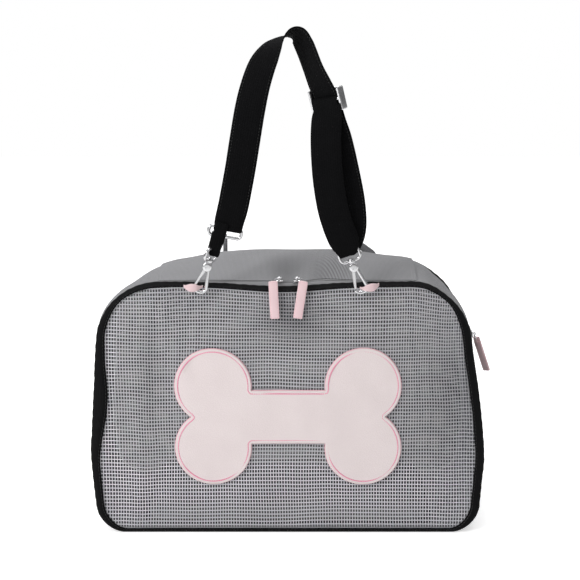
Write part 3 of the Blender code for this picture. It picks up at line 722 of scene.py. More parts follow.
def outline_span(value, axis, inset):
    """Where the inset outline crosses x = value (axis 0) or z = value (axis 1)."""
    rows = EDGE.rows
    points = rows[:, :2] - rows[:, 2:] * inset
    hits = []
    for a, b in zip(points[:-1], points[1:]):
        if (a[axis] - value) * (b[axis] - value) < 0:
            t = (value - a[axis]) / (b[axis] - a[axis])
            hits.append(a[1 - axis] + t * (b[1 - axis] - a[1 - axis]))
    return (min(hits), max(hits)) if len(hits) >= 2 else None


def weave_drift(x, z):
    """The net's threads wander a little as the cloth is pulled at its seams."""
    dx = 0.0030 * wander(x, 0, z, 0.16, 11.0) + 0.0009 * wander(x, 0, z, 0.05, 17.0)
    dz = 0.0034 * wander(x, 0, z, 0.18, 23.0) + 0.0010 * wander(x, 0, z, 0.05, 29.0)
    edge = min(1.0, 6 * max(0.0, 1 - (x / 0.208) ** 2))
    edge *= min(1.0, 5 * max(0.0, 1 - (2 * z / TOP_Z - 1) ** 2))
    return dx * edge, dz * edge


def make_net(name, side, material, node_name, step):
    """Upright threads and then rows, thread by thread."""
    pile = Pile()
    count = int(NET_REACH / NET_PITCH_X)
    threads = [(k * NET_PITCH_X, 0, Vector((1, 0, 0)), NET_HALF_WIDE) for k in range(-count, count + 1)]
    threads += [(k * NET_PITCH_Z, 1, Vector((0, 0, 1)), NET_HALF_WIDE * ROW_WIDER)
                for k in range(1, int(TOP_Z / NET_PITCH_Z) + 1)]
    for value, axis, across, half in threads:
        span = outline_span(value + 1e-5, axis, 0.0022)
        if span is None or span[1] - span[0] < 0.01:
            continue
        sections = []
        for t in spaced(*span, step):
            x, z = (t, value) if axis else (value, t)
            dx, dz = weave_drift(x, z)
            p = face_point(x, z + dz, side, -0.00022) if axis else face_point(x + dx, z, side, 0.00022)
            sections.append(round_section(p, across, Vector((0, 1, 0)), half, NET_HALF_THICK, 4))
        pile.add(sections)
    return piece(name, pile.verts, pile.faces, material, "bag", [node_name], 80)


# ---------------------------------------------------------------- bindings and hoops

def band_width(x, z):
    """Width of the binding on the face of the panel: broad at the sides, narrow above and below."""
    side = smooth(0.178, 0.210, abs(x))
    middle = 0.0084 + (0.0064 * hill(z, 0.145, 0.045) if x < 0 else 0.0010)
    flat = 0.0043 if z > 0.14 else 0.0048
    return flat + (middle - flat) * side


def make_binding(name, side, node_name):
    sections, uvs = [], []
    count = 460
    for i in range(count):
        s = LENGTH * i / count
        x, z, nx, nz = EDGE.at(s)
        wide = band_width(x, z)
        pucker = 0.00035 * wander(x, side, z, 0.012, 4.0) + 0.0002 * math.sin(2 * math.pi * s / 0.0105)
        tail = 0.0082 - 0.0042 * smooth(0.150, 0.120, abs(x)) * (z > 0.2) * (side < 0)
        profile = [
            (wide, 0.0002), (wide - 0.0008, -0.0012), (wide * 0.5, -0.0018 - pucker),
            (0.0018, -0.0012 - pucker), (-0.0004, 0.0006), (-0.0011 - pucker, tail * 0.35),
            (-0.0011 - pucker, tail * 0.75), (-0.0002, tail), (0.0006, tail - 0.0002),
            (0.0004, tail * 0.5), (0.0014, 0.0020), (wide * 0.5, 0.0010), (wide - 0.0004, 0.0010),
        ]
        ring = []
        for inset, back in profile:
            px, pz = x - nx * inset, max(z - nz * inset, 0.0)
            depth = half_depth(pz)
            flat = relax(Vector((px, side * (depth - max(back, 0.0)), pz)))
            lift = billow(px, pz, side) * smooth(0.0, 0.010, inset)
            ring.append(Vector((flat.x, side * (depth - back + lift), flat.z)))
        sections.append(ring)
        uvs += [(u, s) for u in distances(profile)]
    return lofted(name, sections, TAPE, "bag", [node_name], 70, uvs, True)


def make_hoop(name, side, node_name):
    points = []
    inset, count = 0.0032, 180
    for i in range(count):
        x, z, nx, nz = EDGE.at(LENGTH * i / count)
        px, pz = x - nx * inset, z - nz * inset
        flat = relax(Vector((px, side * half_depth(pz) * 0.99, pz)))
        points.append(Vector((flat.x, side * (half_depth(pz) - 0.0050), flat.z)))
    tube(name, points, 0.0014, HOOP, "bag", [node_name], closed=True, count=10)


BINDING_THREAD, BINDING_STITCH = 0.0003, 0.0038  # thread radius and stitch pitch


def make_binding_stitches(name, side):
    """A row of small stitches near the inner edge of the binding."""
    pile = Pile()
    for i in range(int(LENGTH / BINDING_STITCH)):
        s = i * BINDING_STITCH
        x, z, nx, nz = EDGE.at(s)
        inset = band_width(x, z) - 0.0018
        ring = []
        for ds, size in ((-0.0013, 0.1), (-0.0009, 0.8), (0.0, 1.0), (0.0009, 0.8), (0.0013, 0.1)):
            px, pz = x - nx * inset - nz * ds, z - nz * inset + nx * ds
            pz = max(pz, 0.0005)
            flat = relax(Vector((px, side * half_depth(pz), pz)))
            lift = billow(px, pz, side) * smooth(0.0, 0.010, inset)
            centre = Vector((flat.x, side * (half_depth(pz) + 0.0015 + lift), flat.z))
            radius = BINDING_THREAD * size
            ring.append(round_section(centre, Vector((nx, 0, nz)), Vector((0, 1, 0)), radius, radius, 5))
        pile.add(ring)
    piece(name, pile.verts, pile.faces, BLACK_THREAD, "bag")


# ---------------------------------------------------------------- gusset walls

WALL_V = 0.962
WALL_LAP = 0.0022  # how far the walls reach over the top zip's tape
WALL_THICK, DOOR_THICK, LID_THICK = 0.0024, 0.0022, 0.0010


def wall_grid(s_low, s_high, step, v_low=-WALL_V, v_high=WALL_V, out=-0.0004):
    rows = spaced(s_low, s_high, step)
    columns = spaced(v_low, v_high, step / 0.09)
    grid = []
    for s in rows:
        line = []
        for v in columns:
            x, z = EDGE.at(s)[:2]
            soft = 0.0010 * wander(x * 1.2, v * 0.09, z, 0.045, 31.0) * (1 - v * v)
            line.append(skin(s, v, out + soft))
        grid.append(line)
    return rows, columns, grid


def wall_piece(name, rows, columns, grid, keep, thick, material, body, nodes, flip=False):
    verts, faces, used = shell(grid, keep, thick, flip)
    layer, width = len(rows) * len(columns), len(columns)
    uvs = []
    for v in used:
        index = v % layer
        uvs.append((rows[index // width], columns[index % width] * 0.085))
    return piece(name, verts, faces, material, body, nodes, 60, uvs)


DOOR_LOW, DOOR_HIGH, DOOR_HALF, DOOR_CORNER = 0.040, 0.213, 0.060, 0.022


def door_inside(y, z, shrink):
    """Whether CAD wall point (y, z), before the taper, is inside the door outline."""
    half, top, corner = DOOR_HALF - shrink, DOOR_HIGH - shrink, DOOR_CORNER - shrink
    if abs(y) > half or z > top or z < DOOR_LOW + 0.0006:
        return False
    if z > top - corner and abs(y) > half - corner:
        return math.hypot(abs(y) - half + corner, z - top + corner) < corner
    return True


def make_walls():
    left = wall_grid(LENGTH - S_BASE, LENGTH - S_TOP - WALL_LAP, 0.005)
    wall_piece("left_wall", *left, lambda i, j: True, WALL_THICK, GREY, "bag",
               ["left_side_panel"], True)
    rows, columns, grid = wall_grid(S_BASE, S_TOP + WALL_LAP, 0.0022)

    def in_door(i, j, shrink):
        s, v = (rows[i] + rows[i + 1]) / 2, (columns[j] + columns[j + 1]) / 2
        return door_inside(v * BASE_DEPTH / 2, EDGE.at(s)[1], shrink)

    wall_piece("right_wall", rows, columns, grid, lambda i, j: not in_door(i, j, 0.0028), WALL_THICK, GREY,
               "bag", ["right_side_panel"])
    door = wall_piece("side_door", rows, columns, grid, lambda i, j: in_door(i, j, 0.0095), DOOR_THICK, GREY,
                      "door", ["side_door_panel"])
    let_go(door)
    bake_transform(door)


def top_s(x):
    """Distance along the outline of a place on the top, by its x."""
    return S_TOP + TOP_SPLIT_X - x


def top_point(x, y, out=0.0):
    return skin(top_s(x), y / half_depth(TOP_Z), out)


LID_FRONT_Y, LID_REAR_Y = -0.0715, 0.0700
TAPE_WIDE, CHAIN_GAP = 0.005, 0.0014


def make_lid():
    inset, cover = 2 * TAPE_WIDE + CHAIN_GAP - 0.0030, 0.0010
    s_low, s_high = top_s(TOP_SPLIT_X - cover), top_s(cover - TOP_SPLIT_X)
    front, rear = (LID_FRONT_Y + inset) / half_depth(TOP_Z), LID_REAR_Y / half_depth(TOP_Z)
    cloth = wall_grid(s_low, s_high, 0.005, front, rear, 0.0002)
    for row in cloth[2]:
        for point in row:
            away = smooth(LID_FRONT_Y + 0.008, LID_FRONT_Y + 0.026, point.y)
            point.z += 0.0015 * away * smooth(TOP_SPLIT_X - 0.040, TOP_SPLIT_X - 0.012, abs(point.x))
    wall_piece("lid_cover", *cloth, lambda i, j: True, LID_THICK, GREY_LID, "lid", ["lid_panel"])


def make_base():
    cloth = wall_grid(LENGTH - S_BASE, LENGTH + S_BASE, 0.008, out=-0.0001)
    wall_piece("base_cover", *cloth, lambda i, j: True, 0.0022, GREY, "bag", ["base_panel"])
    board = rounded(0.320, 0.162, 0.014)
    slab("base_stiffener", board, [(0.0006, 0.0), (0, 0.0006), (0, 0.0024), (0.0006, 0.0030)],
         Matrix.Translation((0, 0, 0.0028)), BOARD, "bag", ["base_board"])


def make_backing():
    """The dark inner cloth of the rear panel."""
    xs, zs = spaced(-NET_REACH, NET_REACH, 0.009), spaced(0.0035, TOP_Z - 0.0035, 0.009)
    grid = []
    for z in zs:
        span = outline_span(z + 1e-5, 1, 0.0030)
        grid.append([face_point(max(span[0], min(span[1], x)), z, 1, -0.0004) for x in xs])
    verts, faces, _ = shell(grid, lambda i, j: True, 0.0005)
    piece("rear_backing_cloth", verts, faces, BACKING, "bag", ["rear_mesh_panel"])


# ---------------------------------------------------------------- flat parts and soft strips

def rounded(wide, deep, radius, steps=6, centre=(0.0, 0.0)):
    points = []
    for sx, sy, first in ((1, 1, 0), (-1, 1, 90), (-1, -1, 180), (1, -1, 270)):
        for k in range(steps + 1):
            angle = math.radians(first + 90 * k / steps)
            points.append((centre[0] + sx * (wide / 2 - radius) + radius * math.cos(angle),
                           centre[1] + sy * (deep / 2 - radius) + radius * math.sin(angle)))
    return points


def shrunk(outline, amount):
    """The outline moved inward by amount, corner by corner."""
    count = len(outline)
    out = []
    for i, (x, y) in enumerate(outline):
        ax, ay = outline[i - 1]
        bx, by = outline[(i + 1) % count]
        tx, ty = bx - ax, by - ay
        size = math.hypot(tx, ty) or 1.0
        out.append((x - amount * ty / size, y + amount * tx / size))
    return out


def slab(name, outline, layers, place, material, body, nodes=(), smooth_angle=40):
    """A flat part from an anticlockwise outline; layers are (inset, height) pairs, lowest first."""
    sections = []
    for inset, height in layers:
        sections.append([place @ Vector((x, y, height)) for x, y in shrunk(outline, inset)])
    uvs = [(x, y) for _ in layers for x, y in outline]
    return lofted(name, sections, material, body, nodes, smooth_angle, uvs)


def strip_frames(points, acrosses):
    """Each point of a strip with the directions across and through it."""
    last = len(points) - 1
    for i, p in enumerate(points):
        tangent = (points[min(i + 1, last)] - points[max(i - 1, 0)]).normalized()
        across = (acrosses[i] - tangent * acrosses[i].dot(tangent)).normalized()
        yield p, across, tangent.cross(across).normalized()


def strip_sections(points, acrosses, widths, thick):
    """Cross-sections of webbing with rounded edges, and their (across, along) places."""
    sections, uvs = [], []
    deep, e = thick / 2, 0.35 * thick
    for (p, across, through), wide, along in zip(strip_frames(points, acrosses), widths, distances(points)):
        half = wide / 2
        top = [(-half + e * 0.4, -deep * 0.7), (-half + e * 1.2, -deep), (-half * 0.3, -deep),
               (half * 0.3, -deep), (half - e * 1.2, -deep), (half - e * 0.4, -deep * 0.7)]
        shape = [(-half, 0), *top, (half, 0), *((-a, -b) for a, b in top)]
        sections.append([p + across * a + through * b for a, b in shape])
        uvs += [(a, along) for a, b in shape]
    return sections, uvs


def strip(name, points, acrosses, widths, thick, material, body, nodes=()):
    sections, uvs = strip_sections(points, acrosses, widths, thick)
    return lofted(name, sections, material, body, nodes, 60, uvs)


def stitch_row(pile, points, up, pitch=0.0026, size=0.00032, fill=0.62):
    """Small raised stitches along a path. up gives the outward direction at each point."""
    lengths = distances(points)

    def at(d):
        i = int(np.searchsorted(lengths, d)) - 1
        i = min(max(i, 0), len(points) - 2)
        t = (d - lengths[i]) / max(lengths[i + 1] - lengths[i], 1e-9)
        return points[i].lerp(points[i + 1], t), up[i].lerp(up[i + 1], t).normalized()

    for k in range(int(lengths[-1] / pitch)):
        middle = (k + 0.5) * pitch
        ring = []
        for share, swell in ((-0.5, 0.25), (-0.38, 0.85), (0.0, 1.0), (0.38, 0.85), (0.5, 0.25)):
            p, lift = at(middle + share * fill * pitch)
            q, _ = at(middle + share * fill * pitch + 0.0002)
            tangent = (q - p).normalized() if (q - p).length > 1e-9 else Vector((1, 0, 0))
            side = tangent.cross(lift).normalized()
            centre = p + lift * (size * (swell - 0.6))
            ring.append(round_section(centre, side, lift, size * swell, size * swell, 5))
        pile.add(ring)


def stitches(name, rows, material, body, **options):
    pile = Pile()
    for points, up in rows:
        stitch_row(pile, points, up, **options)
    return piece(name, pile.verts, pile.faces, material, body)


# ---------------------------------------------------------------- zips

def u_path(inset, step=0.004, forward=0.0):
    """Places (x, y) round the front and sides of the lid, a given way in from its outer edge."""
    x, front, soft = TOP_SPLIT_X - inset, LID_FRONT_Y + inset - forward, 0.002
    path = [(x, y) for y in spaced(LID_REAR_Y, front + soft, step)]
    path += [(x - soft + soft * math.cos(a), front + soft - soft * math.sin(a)) for a in (0.4, 0.8, 1.2)]
    path += [(t, front) for t in spaced(x - soft, soft - x, step)]
    path += [(soft - x - soft * math.sin(a), front + soft - soft * math.cos(a)) for a in (0.4, 0.8, 1.2)]
    return path + [(-x, y) for y in spaced(front + soft, LID_REAR_Y, step)]


def band(name, path_a, path_b, surface, low, high, material, body, nodes=()):
    """A thin strip on a surface between two paths of equal length."""
    sections, uvs = [], []
    edge = high * 0.6 + low * 0.4
    shape = [(0.0, edge), (0.12, high), (0.5, high), (0.88, high), (1.0, edge), (1.0, low), (0.5, low),
             (0.0, low)]
    for a, b, along in zip(path_a, path_b, distances(path_a)):
        ring = []
        for t, out in shape:
            ring.append(surface(a[0] + (b[0] - a[0]) * t, a[1] + (b[1] - a[1]) * t, out))
            uvs.append((t * math.dist(a, b), along))
        sections.append(ring)
    return lofted(name, sections, material, body, nodes, uvs=uvs)


def teeth(name, path, surface, towards, phase, material, body, pitch=0.0022):
    """Coil teeth along a chain path, reaching in from one side. towards is +1 or -1."""
    pile = Pile()
    lengths = distances(path)
    xs, ys = [p[0] for p in path], [p[1] for p in path]
    for k in range(int(lengths[-1] / pitch) - 1):
        d = (k + 0.5 + phase) * pitch
        (ax, ay), (bx, by) = ([float(np.interp(d + e, lengths, c)) for c in (xs, ys)] for e in (-1e-4, 1e-4))
        size = math.hypot(bx - ax, by - ay)
        tx, ty = (bx - ax) / size, (by - ay) / size
        cx, cy = (ax + bx) / 2, (ay + by) / 2
        ring = []
        for share, fat in ((-0.0015, 0.5), (-0.0011, 0.9), (0.0004, 1.0), (0.0008, 0.55)):
            across = share * towards
            half, deep = 0.00048 * fat, 0.0008 * fat
            spots = [(half, 0.0), (half * 0.6, deep), (-half * 0.6, deep), (-half, 0.0),
                     (-half * 0.6, -deep), (half * 0.6, -deep)]
            ring.append([surface(cx - ty * across + tx * u, cy + tx * across + ty * u, w - 0.0008)
                         for u, w in spots])
        pile.add(ring)
    piece(name, pile.verts, pile.faces, material, body)


def make_top_zip():
    chain = TAPE_WIDE + CHAIN_GAP / 2
    low, high = -0.0019, -0.0007
    body = equal_paths(u_path(-0.0014, forward=0.0036), u_path(TAPE_WIDE + 0.0004), 280)
    lid = equal_paths(u_path(TAPE_WIDE + CHAIN_GAP - 0.0004), u_path(2 * TAPE_WIDE + CHAIN_GAP), 280)
    band("top_tape_body", *body, top_point, low, high, ZIP, "bag", ["top_zip_body_tape"])
    band("top_tape_lid", *lid, top_point, low, high, ZIP, "lid", ["top_zip_lid_tape"])
    teeth("top_teeth_body", u_path(chain), top_point, -1, 0.0, COIL, "bag")
    teeth("top_teeth_lid", u_path(chain), top_point, 1, 0.5, COIL, "lid")


def door_path(inset, step=0.004):
    """Places (y, z) up one side of the door, over its top and down the other."""
    half, top, corner = DOOR_HALF - inset, DOOR_HIGH - inset, max(DOOR_CORNER - inset, 0.002)
    arc = [math.pi / 2 * k / 8 for k in range(1, 8)]
    path = [(half, z) for z in spaced(DOOR_LOW + 0.0008, top - corner, step)]
    path += [(half - corner + corner * math.cos(a), top - corner + corner * math.sin(a)) for a in arc]
    path += [(y, top) for y in spaced(half - corner, corner - half, step)]
    path += [(corner - half - corner * math.sin(a), top - corner + corner * math.cos(a)) for a in arc]
    return path + [(-half, z) for z in spaced(top - corner, DOOR_LOW + 0.0008, step)]


def door_point(y, z, out=0.0):
    return skin(s_of_side(z), y / (BASE_DEPTH / 2), out)


def equal_paths(first, second, count=150):
    return resampled(first, count), resampled(second, count)


def make_door_zip():
    chain = TAPE_WIDE + CHAIN_GAP / 2
    outer = equal_paths(door_path(-0.0008), door_path(TAPE_WIDE))
    inner = equal_paths(door_path(TAPE_WIDE + CHAIN_GAP), door_path(2 * TAPE_WIDE + CHAIN_GAP))
    band("door_tape_body", *outer, door_point, -0.0004, 0.0008, ZIP_SIDE, "bag",
         ["door_zip_body_tape"])
    band("door_tape_door", *inner, door_point, -0.0004, 0.0008, ZIP_SIDE, "door",
         ["door_zip_door_tape"])
    line = equal_paths(door_path(chain), door_path(chain))[0]
    teeth("door_teeth_body", line, lambda y, z, w: door_point(y, z, w + 0.0012), -1, 0.0, COIL_SIDE, "bag")
    teeth("door_teeth_door", line, lambda y, z, w: door_point(y, z, w + 0.0012), 1, 0.5, COIL_SIDE, "door")
    for body, inset in (("bag", 0.0009), ("door", 2 * TAPE_WIDE + CHAIN_GAP - 0.0009)):
        seam = [door_point(y, z, 0.0008) for y, z in door_path(inset)]
        stitches(f"door_seam_{body}", [(seam, [Vector((1, 0, 0.1))] * len(seam))], GREY_THREAD, body,
                 pitch=0.0030, size=0.00028)


def make_lid_seams():
    """Two rows of stitching along each of the lid's free sides."""
    for name, inset, rise in (("lid_seam", 0.0032, 0.0015), ("lid_seam_inner", 0.0062, 0.0014)):
        rows = []
        for side in (-1, 1):
            x = side * (TOP_SPLIT_X - inset)
            path = [top_point(x, y, 0.0002) for y in spaced(LID_FRONT_Y + 0.0105, LID_REAR_Y - 0.001, 0.004)]
            for p in path:
                p.z += rise * smooth(LID_FRONT_Y + 0.008, LID_FRONT_Y + 0.026, p.y)
            rows.append((path, [Vector((side * 0.2, 0, 1)).normalized()] * len(path)))
        stitches(name, rows, GREY_THREAD, "lid", pitch=0.0030, size=0.00030)


SLIDER_X, SLIDER_LONG, SLIDER_WIDE = 0.0095, 0.0090, 0.0084
BRIDGE_UP, BRIDGE_HOLE = 0.00365, 0.0011
PULL_X, PULL_Y = 0.0160, -0.0822


def make_slider(name, place, body, node_name):
    """Local x runs along the chain, y across it towards the moving panel, z outward."""
    waist = []
    for k in range(40):
        angle = 2 * math.pi * k / 40
        c, s = math.cos(angle), math.sin(angle)
        x = SLIDER_LONG / 2 * math.copysign(abs(c) ** 0.6, c)
        wide = SLIDER_WIDE / 2 * (1 - 0.16 * hill(x, 0.0, 0.0016))
        waist.append((x, wide * math.copysign(abs(s) ** 0.6, s)))
    low = 0.00095
    layers = [(0.0004, low), (0, low + 0.0003), (0, low + 0.0008), (0.0005, low + 0.0012)]
    slab(name + "_top", waist, layers, place, NICKEL, body, [node_name])
    under = [(x, y * 0.5 + SLIDER_WIDE / 4 - 0.0002) for x, y in waist]
    layers = [(0.0004, -low - 0.0012), (0, -low - 0.0008), (0, -low - 0.0003), (0.0004, -low)]
    slab(name + "_under", under, layers, place, NICKEL, body)
    slab(name + "_post", rounded(SLIDER_LONG - 0.002, 0.0009, 0.0004, 2),
         [(0, -low - 0.0005), (0, low + 0.0005)], place, NICKEL, body)
    arch = []
    reach = BRIDGE_HOLE + 0.00045
    for angle in spaced(-0.35, math.pi + 0.35, 0.25):
        arch.append(place @ Vector((0, reach * 1.25 * math.cos(angle), BRIDGE_UP + reach * math.sin(angle))))
    side = place.to_3x3() @ Vector((1, 0, 0))
    shape = [(0.0013, 0), (0.0009, 0.00042), (-0.0009, 0.00042), (-0.0013, 0), (-0.0009, -0.00042),
             (0.0009, -0.00042)]
    lofted(name + "_bridge", swept(arch, False, side, shape), NICKEL, body)


def make_pull(name, hinge, along, middle, hang, body, wire_node, tab_node, lean=0.0, twist=0.0):
    """A wire link on the slider's bridge and a leather tab folded over its far bar."""
    half = 0.0034
    outline = rounded(2 * half, (middle - hinge).length, 0.0012, 4)
    reach = (middle - hinge).normalized()
    centre = (middle + hinge) / 2
    loop = [centre + along * a + reach * b for a, b in outline]
    tube(name + "_link", loop, 0.00068, NICKEL, body, [wire_node], True, along.cross(reach))
    swing = Matrix.Rotation(lean, 3, along.cross(hang))
    down = (swing @ hang).normalized()
    side = (Matrix.Rotation(twist, 3, down) @ swing @ along).normalized()
    normal = side.cross(down).normalized()
    place = Matrix.Translation(middle) @ Matrix((side, down, normal)).transposed().to_4x4()
    long, wide, neck = 0.0395, 0.0098, 0.0034
    for word, top, low, high in (("front", -0.0017, -0.0022, -0.0011), ("back", neck, -0.0010, 0.0)):
        tab = rounded(wide, long - top, 0.0012, 5, (0, (long + top) / 2))
        layers = [(0.0004, low), (0, low + 0.0003), (0, high - 0.0003), (0.0004, high)]
        slab(f"{name}_leather_{word}", tab, layers, place, PINK_PULL, body,
             [tab_node] if word == "front" else ())
    fold = [place @ Vector((0, -0.0012 * math.sin(a), -0.0002 - 0.0012 * math.cos(a)))
            for a in spaced(0.4, math.pi, 0.3)]
    fold.append(place @ Vector((0, 0.0046, 0.0010)))
    strip(name + "_fold", fold, [side] * len(fold), [0.0050] * len(fold), 0.0009, PINK_PULL, body)
    rows = []
    for face, height, top in ((-1, -0.0022, -0.0017), (1, 0.0, neck)):
        track = shrunk(rounded(wide, long - top, 0.0012, 5, (0, (long + top) / 2)), 0.0011)
        points = [place @ Vector((x, y, height)) for x, y in track + track[:1]]
        rows.append((points, [normal * face] * len(points)))
    stitches(name + "_seam", rows, STITCH_PALE, body, pitch=0.0021, size=0.00022)


def make_top_sliders():
    z_chain, y_chain = TOP_Z - 0.0011, LID_FRONT_Y + TAPE_WIDE + CHAIN_GAP / 2
    for word, sign, lean in (("left", -1, -0.05), ("right", 1, 0.15)):
        centre = Vector((sign * SLIDER_X, y_chain, z_chain))
        make_slider("slider_" + word, Matrix.Translation(centre), "slider_" + word, "top_slider_" + word)
        hinge = centre + Vector((0, 0, BRIDGE_UP))
        middle = Vector((sign * PULL_X, PULL_Y, hinge.z - 0.0008))
        node_name = "top_pull_" + word
        make_pull("pull_" + word, hinge, Vector((1, 0, 0)), middle, Vector((0, 0, -1)), "pull_" + word,
                  node_name + "_wire", node_name + "_tab", lean)


DOOR_SLIDER_Y = -0.024


def make_door_slider():
    z_chain = DOOR_HIGH - TAPE_WIDE - CHAIN_GAP / 2 - 0.0003
    v_place = DOOR_SLIDER_Y / (1 - TAPER * z_chain)
    here = door_point(v_place, z_chain, 0.0)
    across = (door_point(v_place, z_chain - 0.004) - door_point(v_place, z_chain + 0.004)).normalized()
    along = Vector((0, -1, 0))
    across = (across - along * across.dot(along)).normalized()
    outward = along.cross(across).normalized()
    turn = Matrix((along, across, outward)).transposed().to_4x4()
    centre = here + outward * 0.0002
    make_slider("side_slider", Matrix.Translation(centre) @ turn, "door_slider", "door_slider")
    hinge = centre + outward * BRIDGE_UP
    lean = math.radians(19)
    hang = Vector((math.sin(lean), 0, -math.cos(lean)))
    make_pull("side_pull", hinge, Vector((0, 1, 0)), hinge + hang * 0.006, hang, "door_pull",
              "door_pull_wire", "door_pull_tab", twist=math.radians(-38))


# ---------------------------------------------------------------- the patch

def bone_outline(steps=26):
    lobe, lobe_x, lobe_z, middle_z = 0.041, 0.081, 0.034, 0.131
    outline = []
    for sx, sz, first, last in ((1, 1, 187, -56), (1, -1, 56, -187), (-1, -1, 7, -236), (-1, 1, 236, -7)):
        for k in range(steps + 1):
            angle = math.radians(first + (last - first) * k / steps)
            outline.append((sx * lobe_x + lobe * math.cos(angle),
                            middle_z + sz * lobe_z + lobe * math.sin(angle)))
    return outline


def dense(outline, step):
    """The outline with more points, evenly spaced."""
    ring = outline + outline[:1]
    return resampled(ring, int(distances(ring)[-1] / step), endpoint=False)


def signed_area(outline):
    return sum(a[0] * b[1] - b[0] * a[1] for a, b in zip(outline, outline[1:] + outline[:1])) / 2


def make_patch():
    outline = dense(bone_outline(), 0.0016)
    if signed_area(outline) < 0:
        outline.reverse()
    work = bmesh.new()
    rings = []
    for inset, out in ((0.0, -0.0002), (0.0, 0.0010), (0.0004, 0.0015), (0.0013, 0.0017), (0.0030, 0.0013),
                       (0.0046, 0.0016), (0.0075, 0.0023)):
        ring = [work.verts.new((x, out, z)) for x, z in shrunk(outline, inset)]
        if rings:
            for k in range(len(ring)):
                m = (k + 1) % len(ring)
                work.faces.new((rings[-1][k], rings[-1][m], ring[m], ring[k]))
        rings.append(ring)
    fill = bmesh.ops.triangle_fill(work, use_beauty=True, edges=[
        work.edges.get((rings[-1][k], rings[-1][(k + 1) % len(outline)])) for k in range(len(outline))])
    inner = [f for f in fill["geom"] if isinstance(f, bmesh.types.BMFace)]
    for _ in range(3):
        edges = list({e for f in inner for e in f.edges if len(e.link_faces) == 2 and e.calc_length() > 0.006
                      and all(g in inner for g in e.link_faces)})
        if not edges:
            break
        bmesh.ops.subdivide_edges(work, edges=edges, cuts=1)
        bmesh.ops.triangulate(work, faces=[f for f in work.faces if len(f.verts) > 4])
        border = {v for ring in rings[:-1] for v in ring}
        inner = [f for f in work.faces if not any(v in border for v in f.verts)]
    bmesh.ops.triangulate(work, faces=[f for f in work.faces if len(f.verts) > 4])
    work.verts.ensure_lookup_table()
    border = {v for ring in rings for v in ring}
    for vert in work.verts:
        x, out, z = vert.co
        if vert not in border:
            out = 0.0023 + 0.0007 * wander(x, 0, z, 0.03, 41.0) + 0.0004
        vert.co = face_point(x, z, -1, out + 0.0006)
    mesh = bpy.data.meshes.new("bone_patch")
    work.to_mesh(mesh)
    work.free()
    obj = bpy.data.objects.new("bone_patch", mesh)
    COLLECTION.objects.link(obj)
    solid = obj.modifiers.new("back", "SOLIDIFY")
    solid.thickness, solid.offset = 0.0004, 0.0
    for face in mesh.polygons:
        face.use_smooth = True
    dress(obj, PINK, "bag", ["front_applique"])
    seam, up = [], []
    for x, z in shrunk(outline, 0.0031):
        seam.append(face_point(x, z, -1, 0.0029))
        up.append(Vector((0, -1, 0)))
    stitches("patch_seam", [(seam + seam[:1], up + up[:1])], STITCH, "bag", pitch=0.0019,
             size=0.00085, fill=1.15)
    cord = [face_point(x, z, -1, 0.0019) for x, z in shrunk(outline, 0.0002)]
    sections = []
    for i, p in enumerate(cord):
        side = Vector((0, 1, 0)).cross(cord[(i + 1) % len(cord)] - cord[i - 1]).normalized()
        sections.append(round_section(p, side, Vector((0, -1, 0)), 0.0011, 0.0008))
    lofted("patch_rolled_edge", sections, PINK_EDGE, "bag", closed=True)


# ---------------------------------------------------------------- loops on the bag

STRAP_Y = -0.0847


def make_front_loops():
    """Pink tape loops whose two ends meet the front of the bag."""
    half, reach = 0.0085, 0.0104
    for name, x, tilt in (("left_front_loop", -0.1010, -0.0002), ("right_front_loop", 0.0865, 0.0016)):
        back = -half_depth(0.2731) - 0.0006
        knots = [(-half - 0.0012, 0.0010), (-half - 0.0010, -0.0030), (-half * 0.86, -reach * 0.62),
                 (-half * 0.5, -reach + 0.0012), (0.0, -reach + 0.0004), (half * 0.5, -reach + 0.0012),
                 (half * 0.86, -reach * 0.62), (half + 0.0010, -0.0030), (half + 0.0012, 0.0010)]
        path = catmull([(x + a, back + b, 0.2731 + tilt * a / half) for a, b in knots], 5)
        points = [Vector(p) for p in path]
        count, broadest = len(points), 0.46 if x < 0 else 0.54
        widths = [0.0022 + 0.0064 * hill(i / count, broadest, 0.22) for i in range(count)]
        loop = strip_free(name + "_tape", points, [Vector((0, 0.15, 1))] * count, widths, 0.0013, PINK_WEB)
        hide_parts(name)
        back - 0.001
        back - reach + 0.0015
        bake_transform(loop)


def strip_free(name, points, acrosses, widths, thick, material):
    """A strip that isn't put on a body."""
    made = strip(name, points, acrosses, widths, thick, material, "bag")
    let_go(made)
    return made


def catmull(rows, steps):
    """Smooth rows of equal length through given rows."""
    out = []
    for i in range(len(rows) - 1):
        p0, p1, p2 = rows[max(i - 1, 0)], rows[i], rows[i + 1]
        p3 = rows[min(i + 2, len(rows) - 1)]
        for k in range(steps):
            t = k / steps
            out.append([0.5 * (2 * b + (c - a) * t + (2 * a - 5 * b + 4 * c - d) * t * t
                               + (3 * b - a - 3 * c + d) * t ** 3)
                        for a, b, c, d in zip(p0, p1, p2, p3)])
    out.append(list(rows[-1]))
    return out


